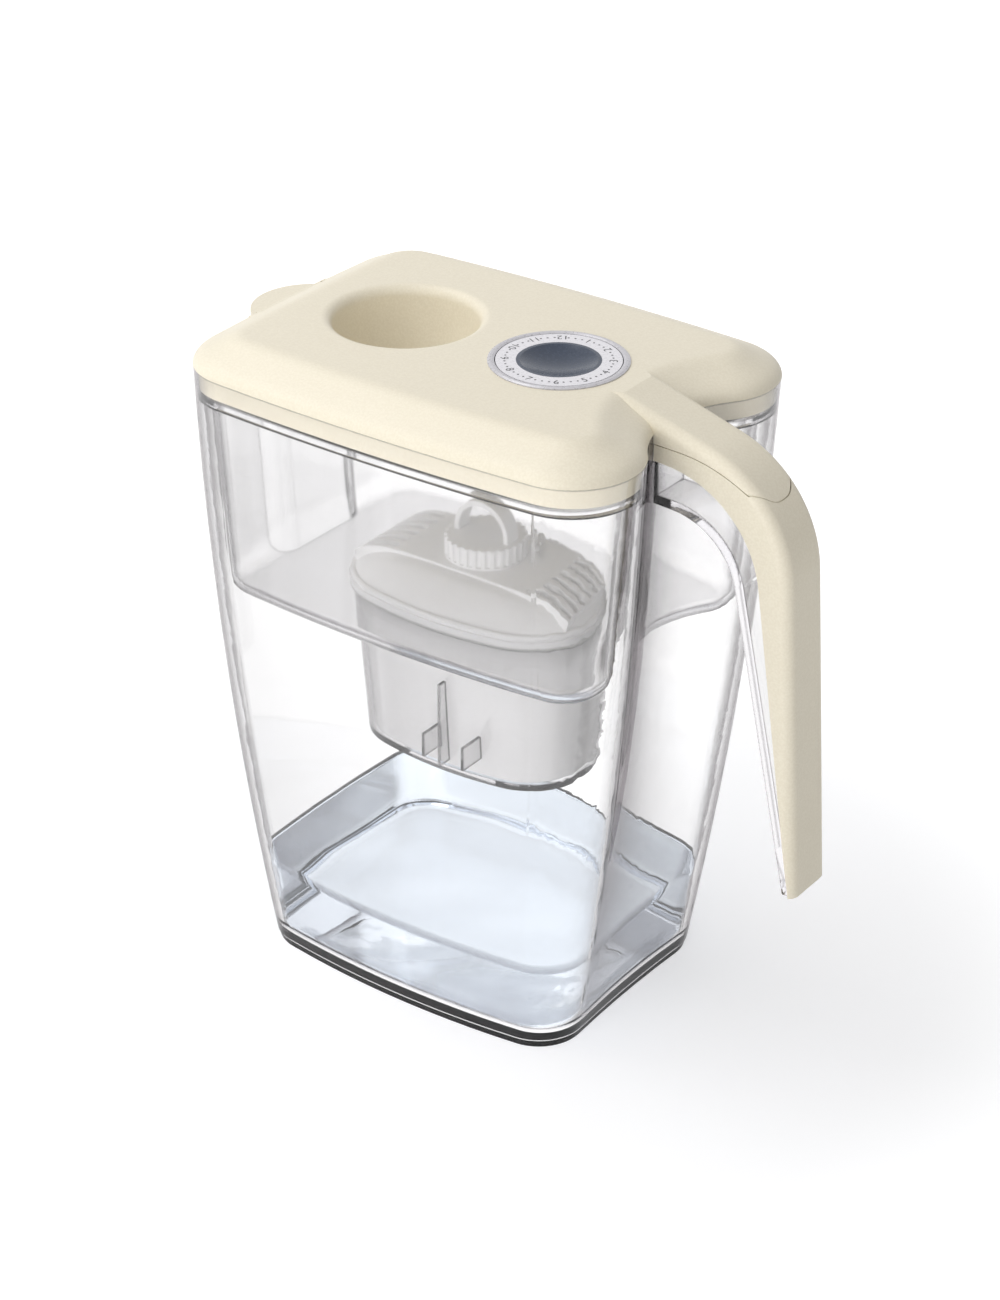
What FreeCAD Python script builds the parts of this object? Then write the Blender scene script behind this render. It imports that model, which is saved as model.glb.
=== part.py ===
import FreeCAD, Part
import math
import os
import re
import Sketcher

doc = FreeCAD.newDocument("water_filter_pitcher")
sheet = doc.addObject("Spreadsheet::Sheet", "sizes")

# Sizes in millimetres and degrees. The origin is the middle of the base, the spout is at -X.
SIZES = [
    # Jug: three outlines, at the base, the belly and the rim
    ("jug_height", 255, "rim above the table"),
    ("foot_height", 3.5, "foot under the jug"),
    ("foot_inset", 1.2, "step from the wall in to the foot"),
    ("base_draw_length", 23, "base outline, in from the rim at each end"),
    ("base_draw_width", 14.4, "base outline, in from the rim at each side"),
    ("base_corner", 20, "base outline"),
    ("base_side_radius", 406, "base outline, long sides"),
    ("base_end_radius", 700, "base outline, front end"),
    ("base_shift", -2, "base outline, middle along X"),
    ("base_bay", 1, "bay for the handle in the rear end of the base outline"),
    ("belly_drop", 95, "belly below the rim"),
    ("belly_draw_length", 4.8, "belly outline, in from the rim at each end"),
    ("belly_draw_width", 3.3, "belly outline, in from the rim at each side"),
    ("belly_corner", 24.5, "belly outline"),
    ("belly_side_radius", 700, "belly outline, long sides"),
    ("belly_end_radius", 900, "belly outline, front end"),
    ("belly_shift", -1.2, "belly outline, middle along X"),
    ("belly_bay", 10.5, "bay for the handle in the rear end of the belly outline"),
    ("rim_half_length", 97.4, "rim outline"),
    ("rim_half_width", 73.9, "rim outline"),
    ("rim_corner", 27, "rim outline"),
    ("rim_side_radius", 1100, "rim outline, long sides"),
    ("rim_end_radius", 1100, "rim outline, front end"),
    ("rim_bay", 15.4, "bay for the handle in the rear end of the rim outline"),
    ("jug_wall", 3, "wall of the jug"),
    ("jug_floor", 5, "floor of the jug above the table"),
    ("jug_floor_round", 6, "rounding inside at the floor"),
    ("ledge_drop", 12, "ledge that carries the hopper, below the rim"),
    ("rim_wall", 1.9, "wall above the ledge"),
    # Spout
    ("spout_radius", 23, "lip of the spout"),
    ("spout_inset", 13.4, "middle of the lip, in from the rim"),
    ("spout_root_radius", 20, "foot of the spout"),
    ("spout_root_inset", 27.4, "middle of the foot of the spout, in from the rim"),
    ("spout_depth", 50, "height of the spout"),
    ("spout_wall", 2.1, "wall of the spout"),
    # Handle: three curves, each a lower line, a bend and an upper line
    ("handle_bend_inset", 4.9, "middle of the outer bend, in from the rim"),
    ("handle_bend_drop", 48.3, "middle of the outer bend, below the rim"),
    ("handle_bend_radius", 50, "outer bend"),
    ("handle_lean", 3.83, "lean of the back, degrees"),
    ("handle_slope", 16.5, "fall of the top, degrees"),
    ("seam_bend_inset", 10.9, "middle of the seam bend, in from the rim"),
    ("seam_bend_drop", 54.5, "middle of the seam bend, below the rim"),
    ("seam_bend_radius", 44, "seam between grip and frame"),
    ("seam_lean", 8.5, "lean of the seam, degrees"),
    ("seam_slope", 4, "fall of the seam, degrees"),
    ("finger_bend_inset", 7.8, "middle of the finger bend, in from the rim"),
    ("finger_bend_drop", 58.6, "middle of the finger bend, below the rim"),
    ("finger_bend_radius", 30, "finger side of the frame"),
    ("finger_lean", 12.3, "lean of the finger side, degrees"),
    ("finger_slope", 3, "fall of the finger side, degrees"),
    ("handle_drop", 173, "lower end of the handle below the rim"),
    ("handle_half_width", 12.5, "half of the grip across"),
    ("grip_round", 4.5, "rounding along the back of the grip"),
    ("grip_wall", 2, "wall of the grip"),
    ("grip_lean", 6.3, "lean of the inside of the grip, degrees"),
    ("grip_fit", 0.1, "clearance between grip and frame"),
    ("grip_gap", 1.9, "front end of the grip behind the bay"),
    ("frame_flange", 3, "finger flange of the frame"),
    ("frame_wall", 2, "side walls of the frame"),
    ("frame_solid_foot", 16, "solid lower end of the frame"),
    # Hopper
    ("hopper_gap", 3.6, "gap to the jug wall at the belly"),
    ("hopper_flare", 5.7, "widening of the hopper up to its rim"),
    ("hopper_bay_step", 2.4, "bay of the hopper, shallower than the bay of the rim"),
    ("hopper_wall", 2.2, "wall of the hopper"),
    ("hopper_floor", 2.5, "floor of the hopper"),
    ("hopper_round", 9, "rounding under the hopper"),
    ("flange_height", 3, "rim flange of the hopper"),
    ("flange_gap", 0.4, "gap round the rim flange"),
    ("channel_half_width", 24, "pour channel across"),
    ("channel_depth", 8, "pour channel in from the front"),
    ("channel_round", 8, "inner corners of the pour channel"),
    # Well of the hopper and filter cartridge
    ("well_middle", 2, "cartridge along X"),
    ("well_half_length", 54, "well at the hopper floor"),
    ("well_half_width", 37, "well at the hopper floor"),
    ("well_corner", 30, "well outline"),
    ("well_side_radius", 150, "well outline, long sides"),
    ("well_end_radius", 60, "well outline, ends"),
    ("well_taper", 4.5, "narrowing of the well to its floor"),
    ("well_depth", 63, "well under the hopper floor"),
    ("well_wall", 2, "wall of the well"),
    ("drain_width", 6, "drain slots in the floor of the well"),
    ("drain_length", 40, "drain slots in the floor of the well"),
    ("drain_pitch", 14, "spacing of the drain slots"),
    ("cartridge_gap", 0.7, "clearance of the cartridge in the well"),
    ("cup_wall", 1.6, "wall of the cartridge tub"),
    ("cup_flange", 3.2, "rim of the cartridge beyond the well"),
    ("cup_flange_height", 2.4, "rim of the cartridge"),
    ("seal_height", 0.8, "gasket under the cartridge rim"),
    ("seal_width", 2.6, "gasket under the cartridge rim"),
    ("cap_height", 12, "dome of the cartridge cap"),
    ("cap_wall", 1.8, "wall of the cap"),
    ("cap_top_half_length", 30, "flat top of the cap"),
    ("cap_top_half_width", 21, "flat top of the cap"),
    ("cap_top_corner", 17, "flat top of the cap"),
    ("cap_top_side_radius", 90, "flat top of the cap, long sides"),
    ("cap_top_end_radius", 40, "flat top of the cap, ends"),
    ("slot_width", 2.6, "slots in the cap"),
    ("slot_pitch", 6, "spacing of the slots"),
    ("slot_length", 17, "slots in the cap"),
    ("slot_middle", 40, "slots in the cap from its middle"),
    ("screen_height", 1, "filter screens"),
    ("screen_gap", 0.2, "clearance round the screens"),
    ("media_gap", 0.4, "clearance round the filter bed"),
    ("knob_radius", 16, "knurled knob"),
    ("knob_height", 9, "knurled knob"),
    ("knurl_radius", 1.1, "grooves of the knurl"),
    ("knob_spigot_radius", 7, "spigot of the knob in the cap"),
    ("hoop_radius", 10.5, "pull hoop, inside"),
    ("hoop_wall", 2, "pull hoop"),
    ("hoop_width", 7, "pull hoop"),
    ("hoop_leg", 5, "straight legs of the pull hoop"),
    ("hoop_seat", 3, "depth of the hoop in the knob"),
    # Lid
    ("lid_rise", 11, "flat top of the lid above the rim"),
    ("lid_edge_rise", 2.2, "edge of the lid"),
    ("lid_edge_inset", 0.9, "edge of the lid"),
    ("lid_shoulder_rise", 5.7, "shoulder of the lid"),
    ("lid_shoulder_inset", 6, "shoulder of the lid"),
    ("lid_slope_rise", 9, "slope of the lid"),
    ("lid_slope_inset", 13, "slope of the lid"),
    ("lid_top_inset", 20.5, "flat top of the lid"),
    ("lid_wall", 2.4, "wall of the lid"),
    ("skirt_depth", 8, "skirt of the lid inside the rim"),
    ("skirt_gap", 0.4, "gap between skirt and rim"),
    ("skirt_wall", 1.8, "skirt of the lid"),
    ("tongue_thickness", 5.6, "thumb tongue at the top of the bend"),
    ("tongue_easing", 10, "bend under the tongue, wider than the outer bend"),
    ("tongue_slope", 2, "fall of the underside of the tongue, degrees"),
    ("tongue_gap", 0.35, "gap between tongue and grip"),
    ("tongue_reach", 33.6, "end of the thumb tongue beyond the rim"),
    ("tongue_corner", 11, "corners at the end of the tongue"),
    ("tongue_inset", 21, "start of the thumb tongue, in from the bay"),
    # Fill funnel and its flap
    ("funnel_middle", -37, "fill funnel along X"),
    ("funnel_radius", 28, "rim of the funnel"),
    ("funnel_lip", 4, "rounded rim of the funnel"),
    ("funnel_depth", 36, "funnel under the top of the lid"),
    ("throat_radius", 12, "throat of the funnel"),
    ("throat_height", 6, "throat of the funnel"),
    ("funnel_wall", 2.2, "wall of the funnel"),
    ("fill_flap_radius", 13.5, "fill flap"),
    ("fill_flap_height", 1.4, "fill flap"),
    ("fill_flap_gap", 0.4, "fill flap under the throat"),
    ("fill_hinge_reach", 18, "hinge of the fill flap from the throat middle"),
    ("fill_hinge_drop", 2.2, "hinge of the fill flap under the throat"),
    ("fill_knuckle_radius", 2.4, "knuckle of the fill flap"),
    ("fill_knuckle_length", 12, "knuckle of the fill flap"),
    ("fill_weight_reach", 20, "counterweight behind the hinge"),
    ("fill_weight_height", 9, "counterweight behind the hinge"),
    ("pin_radius", 1.1, "hinge pins"),
    ("pin_running", 0.06, "running clearance of the hinge pins"),
    ("ear_width", 3, "hinge ears"),
    ("ear_gap", 0.4, "side clearance of the knuckles"),
    # Spout flap
    ("flap_hinge_inset", 3.2, "hinge of the spout flap, in from the rim"),
    ("flap_hinge_rise", 2.2, "hinge of the spout flap above the rim"),
    ("flap_half_width", 19.2, "spout flap across"),
    ("flap_gap", 0.7, "gap round the spout flap"),
    ("flap_height", 2.2, "spout flap"),
    ("flap_barrel_radius", 1.9, "barrel of the spout flap"),
    ("flap_seat", 0.3, "gap over the lip of the spout"),
    # Dial
    ("dial_middle", 33.5, "dial along X"),
    ("dial_radius", 26.3, "bezel of the dial"),
    ("dial_seat_depth", 4, "seat of the dial in the lid"),
    ("dial_floor", 2.4, "floor of the dial seat"),
    ("bezel_width", 2.6, "bezel of the dial"),
    ("bezel_rise", 0.8, "bezel above the lid"),
    ("dial_gap", 0.35, "clearances in the dial"),
    ("number_ring_inner", 15.8, "numbered ring, inside"),
    ("number_ring_height", 3, "numbered ring"),
    ("hub_dish_radius", 34, "dish of the hub"),
    ("hub_dish_depth", 3.2, "dish of the hub"),
    ("axle_radius", 5, "axle of the dial"),
    ("axle_length", 3, "axle of the dial under the seat"),
    ("clip_radius", 9, "clip under the dial"),
    ("clip_height", 1.6, "clip under the dial"),
]

for row, (alias, size, meaning) in enumerate(SIZES, start=1):
    sheet.set(f"A{row}", meaning)
    sheet.set(f"B{row}", str(size))
    sheet.setAlias(f"B{row}", alias)
doc.recompute()


# Levels and places that follow from the sizes: the jug's outlines and all that hangs on its rim
PLACES = {
    "belly_level": "jug_height - belly_drop",
    "ledge_level": "jug_height - ledge_drop",
    "belly_half_length": "rim_half_length - belly_draw_length",
    "belly_half_width": "rim_half_width - belly_draw_width",
    "base_half_length": "rim_half_length - base_draw_length",
    "base_half_width": "rim_half_width - base_draw_width",
    "spout_middle": "spout_inset - rim_half_length",
    "spout_root_middle": "spout_root_inset - rim_half_length",
    "flap_hinge_x": "flap_hinge_inset - rim_half_length",
    "handle_bend_x": "rim_half_length - handle_bend_inset",
    "handle_bend_z": "jug_height - handle_bend_drop",
    "seam_bend_x": "rim_half_length - seam_bend_inset",
    "seam_bend_z": "jug_height - seam_bend_drop",
    "finger_bend_x": "rim_half_length - finger_bend_inset",
    "finger_bend_z": "jug_height - finger_bend_drop",
    "handle_foot": "jug_height - handle_drop",
    "bay_wall": "rim_half_length - rim_bay",
    "hopper_bay": "rim_bay - hopper_bay_step",
    "grip_root": "bay_wall + grip_gap",
    "tongue_bend_z": "handle_bend_z - tongue_easing - tongue_thickness",
    "tongue_bend_radius": "handle_bend_radius + tongue_easing",
    "tongue_start": "bay_wall - tongue_inset",
    "tongue_end": "rim_half_length + tongue_reach",
}


def bound(text):
    """Expression text in which each word with an underscore is a place or a cell of the sheet."""
    def cell(word):
        name = word.group(0)
        return f"({bound(PLACES[name])})" if name in PLACES else f"sizes.{name}"
    return re.sub(r"\b[a-z]+(?:_[a-z]+)+\b", cell, text)


def value(text):
    """Present value of an expression."""
    return float(sheet.evalExpression(bound(text)))


def vec(x, y, z=0.0):
    return FreeCAD.Vector(x, y, z)


def new_body(name):
    return doc.addObject("PartDesign::Body", name)


def axis_plane(body, plane):
    """One of the body's own origin planes."""
    return [feature for feature in body.Origin.OriginFeatures if feature.Role == plane][0]


def new_sketch(body, name, plane, offset="0"):
    """Sketch on one of the body's own origin planes, moved along the plane's normal."""
    sketch = body.newObject("Sketcher::SketchObject", name)
    sketch.AttachmentSupport = [(axis_plane(body, plane), "")]
    sketch.MapMode = "FlatFace"
    sketch.setExpression("AttachmentOffset.Base.z", bound(offset))
    return sketch


def drive(sketch, kind, elements, text):
    """Size constraint that follows an expression."""
    index = sketch.addConstraint(Sketcher.Constraint(kind, *elements, value(text)))
    sketch.setExpression(f"Constraints[{index}]", bound(text))


def drive_angle(sketch, line, text):
    """Direction of a line, in degrees from the sketch's own X axis."""
    angle = math.radians(value(text))
    index = sketch.addConstraint(Sketcher.Constraint("Angle", line, angle))
    sketch.setExpression(f"Constraints[{index}]", f"({bound(text)}) * 1 deg")


def relate(sketch, kind, *elements):
    sketch.addConstraint(Sketcher.Constraint(kind, *elements))


def add_line(sketch, start, end):
    return sketch.addGeometry(Part.LineSegment(vec(*start), vec(*end)), False)


def add_arc(sketch, middle, radius, start, end):
    circle = Part.Circle(vec(*middle), vec(0, 0, 1), radius)
    return sketch.addGeometry(Part.ArcOfCircle(circle, start, end), False)


def circle(sketch, x, y, radius):
    """Circle with its middle and radius as expressions."""
    middle = vec(value(x), value(y))
    ring = sketch.addGeometry(Part.Circle(middle, vec(0, 0, 1), value(radius)), False)
    drive(sketch, "DistanceX", (ring, 3), x)
    drive(sketch, "DistanceY", (ring, 3), y)
    drive(sketch, "Radius", (ring,), radius)
    return ring


def outline(sketch, half_length, half_width, corner, side_radius, end_radius, shift="0", bay=None):
    """Rounded rectangle with bulging sides: eight tangent arcs, anticlockwise from the +X end.

    With a bay, the +X end curves in between its corners by that depth.
    """
    a, b, r = value(half_length), value(half_width), value(corner)
    side, end, x = value(side_radius), value(end_radius), value(shift)
    end_middle = a - end
    side_middle = b - side
    # Corner middle: where two circles round the side and end middles cross
    reach_end, reach_side = end - r, side - r
    gap = math.hypot(end_middle, side_middle)
    along = (reach_end ** 2 - reach_side ** 2 + gap ** 2) / (2 * gap)
    across = math.sqrt(reach_end ** 2 - along ** 2)
    ux, uy = -end_middle / gap, side_middle / gap
    front_x = end_middle + along * ux - across * uy
    front_y = along * uy + across * ux
    front_end = math.atan2(front_y, front_x - end_middle)
    front_side = math.atan2(front_y - side_middle, front_x)
    pi = math.pi
    if bay:
        corner_y = (f"(({half_width}) - ({side_radius}) + sqrt(pow(({side_radius}) - ({corner}); 2)"
                    f" - pow(({half_length}) - ({corner}); 2)))")
        bay_radius = (f"(pow(({corner}) - ({bay}); 2) + pow({corner_y}; 2) - pow({corner}; 2))"
                      f" / (2 * ({bay}))")
        rear_x, rear_y = a - r, value(corner_y)
        bay_middle = a - value(bay) + value(bay_radius)
        rear_end = -math.atan2(rear_y, bay_middle - rear_x)
        rear_side = math.atan2(rear_y - side_middle, rear_x)
        rear = add_arc(sketch, (x + bay_middle, 0), value(bay_radius), pi + rear_end, pi - rear_end)
    else:
        rear_x, rear_y, rear_end, rear_side = front_x, front_y, front_end, front_side
        rear = add_arc(sketch, (x + end_middle, 0), end, -rear_end, rear_end)
    arcs = [
        rear,
        add_arc(sketch, (x + rear_x, rear_y), r, rear_end, rear_side),
        add_arc(sketch, (x, side_middle), side, rear_side, pi - front_side),
        add_arc(sketch, (x - front_x, front_y), r, pi - front_side, pi - front_end),
        add_arc(sketch, (x - end_middle, 0), end, pi - front_end, pi + front_end),
        add_arc(sketch, (x - front_x, -front_y), r, pi + front_end, pi + front_side),
        add_arc(sketch, (x, -side_middle), side, pi + front_side, 2 * pi - rear_side),
        add_arc(sketch, (x + rear_x, -rear_y), r, 2 * pi - rear_side, 2 * pi - rear_end),
    ]
    for first, second in zip(arcs[1:], arcs[2:]):
        relate(sketch, "Tangent", first, 2, second, 1)
    last, first = (2, 1) if bay else (1, 2)
    relate(sketch, "Tangent", arcs[7], 2, rear, last)
    relate(sketch, "Tangent", rear, first, arcs[1], 1)
    relate(sketch, "PointOnObject", arcs[4], 3, -1)
    drive(sketch, "DistanceX", (arcs[4], 3), f"{shift} - ({half_length}) + ({end_radius})")
    if bay:
        for arc in (arcs[1], arcs[7]):
            drive(sketch, "DistanceX", (arc, 3), f"{shift} + ({half_length}) - ({corner})")
        drive(sketch, "Radius", (rear,), bay_radius)
    else:
        relate(sketch, "PointOnObject", rear, 3, -1)
        drive(sketch, "DistanceX", (rear, 3), f"{shift} + ({half_length}) - ({end_radius})")
        drive(sketch, "Radius", (rear,), end_radius)
    for arc, sign in ((arcs[2], ""), (arcs[6], "-")):
        drive(sketch, "DistanceX", (arc, 3), shift)
        drive(sketch, "DistanceY", (arc, 3), f"{sign}(({half_width}) - ({side_radius}))")
    for arc, radius in ((4, end_radius), (2, side_radius), (6, side_radius)):
        drive(sketch, "Radius", (arcs[arc],), radius)
    for arc in (1, 3, 5, 7):
        drive(sketch, "Radius", (arcs[arc],), corner)


def hook(sketch, bend_x, bend_z, radius, lean, slope, foot, root):
    """Lower line up from the foot, bend, and upper line to the root. Returns the three pieces."""
    x, z, r = value(bend_x), value(bend_z), value(radius)
    low, top = math.radians(value(lean)), math.radians(value(slope))
    start = (x + r * math.cos(low), z + r * math.sin(low))
    end = (x + r * math.sin(top), z + r * math.cos(top))
    foot_z, root_x = value(foot), value(root)
    foot_x = start[0] + (start[1] - foot_z) * math.tan(low)
    root_z = end[1] + (end[0] - root_x) * math.tan(top)
    lower = add_line(sketch, (foot_x, foot_z), start)
    bend = add_arc(sketch, (x, z), r, low, math.pi / 2 - top)
    upper = add_line(sketch, end, (root_x, root_z))
    relate(sketch, "Tangent", lower, 2, bend, 1)
    relate(sketch, "Tangent", bend, 2, upper, 1)
    drive(sketch, "DistanceX", (bend, 3), bend_x)
    drive(sketch, "DistanceY", (bend, 3), bend_z)
    drive(sketch, "Radius", (bend,), radius)
    drive_angle(sketch, lower, f"90 + {lean}")
    drive_angle(sketch, upper, f"180 - {slope}")
    drive(sketch, "DistanceY", (lower, 1), foot)
    drive(sketch, "DistanceX", (upper, 2), root)
    return lower, bend, upper


def close_hooks(sketch, outer, inner):
    """Lines that join two hooks at their feet and at their roots."""
    for piece, end in ((0, 1), (2, 2)):
        a = sketch.getPoint(outer[piece], end)
        b = sketch.getPoint(inner[piece], end)
        line = add_line(sketch, (a.x, a.y), (b.x, b.y))
        relate(sketch, "Coincident", line, 1, outer[piece], end)
        relate(sketch, "Coincident", line, 2, inner[piece], end)


def polygon(sketch, points):
    """Closed polygon whose corners are pairs of expressions."""
    corners = [(value(x), value(y)) for x, y in points]
    lines = [add_line(sketch, a, b) for a, b in zip(corners, corners[1:] + corners[:1])]
    for first, second in zip(lines, lines[1:] + lines[:1]):
        relate(sketch, "Coincident", first, 2, second, 1)
    for line, (x, y) in zip(lines, points):
        drive(sketch, "DistanceX", (line, 1), x)
        drive(sketch, "DistanceY", (line, 1), y)
    return lines


def loft(body, name, kind, sketches):
    feature = body.newObject(f"PartDesign::{kind}Loft", name)
    feature.Profile = (sketches[0], [""])
    feature.Sections = [(sketch, [""]) for sketch in sketches[1:]]
    return feature


def pad(body, name, sketch, length, midplane=False, kind="Pad", reverse=False):
    feature = body.newObject(f"PartDesign::{kind}", name)
    feature.Profile = (sketch, [""])
    feature.setExpression("Length", bound(length))
    feature.SideType = "Symmetric" if midplane else "One side"
    feature.Reversed = reverse
    return feature


def spin(body, name, sketch, kind="Revolution"):
    """Full turn about the first construction line of the sketch."""
    feature = body.newObject(f"PartDesign::{kind}", name)
    feature.Profile = (sketch, [""])
    feature.ReferenceAxis = (sketch, ["Axis0"])
    feature.Angle = 360
    return feature


def axis_line(sketch, x):
    """Upright construction line to turn about."""
    at = value(x)
    line = sketch.addGeometry(Part.LineSegment(vec(at, 0), vec(at, 100)), True)
    relate(sketch, "Vertical", line)
    drive(sketch, "DistanceX", (line, 1), x)
    relate(sketch, "PointOnObject", line, 1, -1)
    drive(sketch, "DistanceY", (line, 2), "jug_height")


def round_edges(body, name, base, radius, wanted):
    """Fillet on the edges whose box passes the test."""
    doc.recompute()
    names = [f"Edge{i}" for i, edge in enumerate(base.Shape.Edges, start=1) if wanted(edge)]
    feature = body.newObject("PartDesign::Fillet", name)
    feature.Base = (base, names)
    feature.setExpression("Radius", bound(radius))
    return feature


def combine(body, name, kind, tool):
    """Join another body to this one, or cut it away."""
    feature = body.newObject("PartDesign::Boolean", name)
    feature.setObjects([tool])
    feature.Type = kind
    return feature


def level_edge(height):
    """Test for edges that lie at one height."""
    z = value(height)
    return lambda edge: abs(edge.BoundBox.ZMin - z) < 0.01 and abs(edge.BoundBox.ZMax - z) < 0.01


BASE = ("base_half_length", "base_half_width", "base_corner", "base_side_radius",
        "base_end_radius", "base_shift", "base_bay")
BELLY = ("belly_half_length", "belly_half_width", "belly_corner", "belly_side_radius",
         "belly_end_radius", "belly_shift", "belly_bay")
RIM = ("rim_half_length", "rim_half_width", "rim_corner", "rim_side_radius", "rim_end_radius", "0",
       "rim_bay")
HOPPER = (*BELLY[:6], "hopper_bay")
WELL = ("well_half_length", "well_half_width", "well_corner", "well_side_radius",
        "well_end_radius", "well_middle", None)
CAP_TOP = ("cap_top_half_length", "cap_top_half_width", "cap_top_corner", "cap_top_side_radius",
           "cap_top_end_radius", "well_middle", None)


def section(body, name, level, shape, inset="0"):
    """Outline at a level, drawn in from a named outline by an even inset."""
    sketch = new_sketch(body, name, "XY_Plane", level)
    sizes = [f"{size} - ({inset})" for size in shape[:5]]
    outline(sketch, *sizes, *shape[5:])
    return sketch


SKY = "jug_height + tongue_end"


def tongue_region(sketch, offset, end, root, cover_level=SKY):
    """Everything between the curve under the tongue, set in by an offset, and a cover level."""
    radius = f"tongue_bend_radius - ({offset})"
    x, z, r = value("handle_bend_x"), value("tongue_bend_z"), value(radius)
    top = math.radians(value("tongue_slope"))
    end_x, root_x, cover_z = value(end), value(root), value(cover_level)
    start = math.acos((end_x - x) / r)
    finish = (x + r * math.sin(top), z + r * math.cos(top))
    root_z = finish[1] + (finish[0] - root_x) * math.tan(top)
    bend = add_arc(sketch, (x, z), r, start, math.pi / 2 - top)
    upper = add_line(sketch, finish, (root_x, root_z))
    back = add_line(sketch, (root_x, root_z), (root_x, cover_z))
    cover = add_line(sketch, (root_x, cover_z), (end_x, cover_z))
    front = add_line(sketch, (end_x, cover_z), (end_x, z + r * math.sin(start)))
    relate(sketch, "Tangent", bend, 2, upper, 1)
    for first, second in ((upper, back), (back, cover), (cover, front)):
        relate(sketch, "Coincident", first, 2, second, 1)
    relate(sketch, "Coincident", front, 2, bend, 1)
    relate(sketch, "Vertical", back)
    relate(sketch, "Horizontal", cover)
    relate(sketch, "Vertical", front)
    drive(sketch, "DistanceX", (bend, 3), "handle_bend_x")
    drive(sketch, "DistanceY", (bend, 3), "tongue_bend_z")
    drive(sketch, "Radius", (bend,), radius)
    drive_angle(sketch, upper, "180 - tongue_slope")
    drive(sketch, "DistanceX", (upper, 2), root)
    drive(sketch, "DistanceX", (front, 1), end)
    drive(sketch, "DistanceY", (cover, 1), cover_level)


def channel_outline(sketch, front, back, half_width, corner):
    """Rectangle from front to back with its two back corners rounded."""
    x, far, h, r = value(front), value(back), value(half_width), value(corner)
    near_side = add_line(sketch, (x, -h), (far - r, -h))
    near_turn = add_arc(sketch, (far - r, r - h), r, -math.pi / 2, 0)
    end = add_line(sketch, (far, r - h), (far, h - r))
    far_turn = add_arc(sketch, (far - r, h - r), r, 0, math.pi / 2)
    far_side = add_line(sketch, (far - r, h), (x, h))
    face = add_line(sketch, (x, h), (x, -h))
    pieces = [near_side, near_turn, end, far_turn, far_side]
    for first, second in zip(pieces, pieces[1:]):
        relate(sketch, "Tangent", first, 2, second, 1)
    relate(sketch, "Coincident", far_side, 2, face, 1)
    relate(sketch, "Coincident", face, 2, near_side, 1)
    relate(sketch, "Horizontal", near_side)
    relate(sketch, "Vertical", end)
    relate(sketch, "Vertical", face)
    drive(sketch, "Radius", (near_turn,), corner)
    drive(sketch, "Radius", (far_turn,), corner)
    drive(sketch, "DistanceX", (face, 1), front)
    drive(sketch, "DistanceX", (end, 1), back)
    drive(sketch, "DistanceY", (near_side, 1), f"-({half_width})")
    drive(sketch, "DistanceY", (far_side, 2), half_width)


def on_outer_curve(edge):
    """Test for edges along the outer curve of the handle at its two sides."""
    box = edge.BoundBox
    if box.YLength > 0.01 or abs(abs(box.YMin) - value("handle_half_width")) > 0.01:
        return False
    middle = edge.valueAt((edge.FirstParameter + edge.LastParameter) / 2)
    x, z = middle.x - value("handle_bend_x"), middle.z - value("handle_bend_z")
    low, top = math.radians(value("handle_lean")), math.radians(value("handle_slope"))
    angle = min(max(math.atan2(z, x), low), math.pi / 2 - top)
    reach = x * math.cos(angle) + z * math.sin(angle)
    return abs(reach - value("handle_bend_radius")) < 0.05


OUTER = ("handle_bend_x", "handle_bend_z", "handle_bend_radius", "handle_lean", "handle_slope")
SEAM = ("seam_bend_x", "seam_bend_z", "seam_bend_radius", "seam_lean", "seam_slope")
GRIP_DEPTH = "tongue_thickness + tongue_gap + grip_wall"

# Jug with its spout and handle frame
jug = new_body("jug_body")
loft(jug, "jug_outer", "Additive", [
    section(jug, "jug_base", "foot_height", BASE),
    section(jug, "jug_belly", "belly_level", BELLY),
    section(jug, "jug_rim", "jug_height", RIM),
])
pad(jug, "jug_foot", section(jug, "foot_outline", "0", BASE, "foot_inset"), "foot_height + foot_inset")

spout_root = new_sketch(jug, "spout_root", "XY_Plane", "jug_height - spout_depth")
circle(spout_root, "spout_root_middle", "0", "spout_root_radius")
spout_lip = new_sketch(jug, "spout_lip", "XY_Plane", "jug_height")
circle(spout_lip, "spout_middle", "0", "spout_radius")
loft(jug, "spout_outer", "Additive", [spout_root, spout_lip])

frame_outline = new_sketch(jug, "frame_outline", "XZ_Plane")
frame_root = "bay_wall - jug_wall"
frame_back = hook(frame_outline, "handle_bend_x", "handle_bend_z",
                  f"handle_bend_radius - ({GRIP_DEPTH} + grip_fit)", "grip_lean", "tongue_slope",
                  "handle_foot", frame_root)
frame_finger = hook(frame_outline, "finger_bend_x", "finger_bend_z", "finger_bend_radius",
                    "finger_lean", "finger_slope", "handle_foot", frame_root)
close_hooks(frame_outline, frame_back, frame_finger)
frame_half = "handle_half_width - grip_wall - grip_fit"
pad(jug, "frame", frame_outline, f"2 * ({frame_half})", midplane=True)

frame_hollow = new_sketch(jug, "frame_hollow", "XZ_Plane")
hollow_foot = "handle_foot + frame_solid_foot"
hollow_back = hook(frame_hollow, *OUTER, hollow_foot, "grip_root")
hollow_finger = hook(frame_hollow, "finger_bend_x", "finger_bend_z",
                     "finger_bend_radius + frame_flange", "finger_lean", "finger_slope",
                     hollow_foot, "grip_root")
close_hooks(frame_hollow, hollow_back, hollow_finger)
pad(jug, "frame_channel", frame_hollow, f"2 * ({frame_half} - frame_wall)", midplane=True,
    kind="Pocket")

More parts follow.
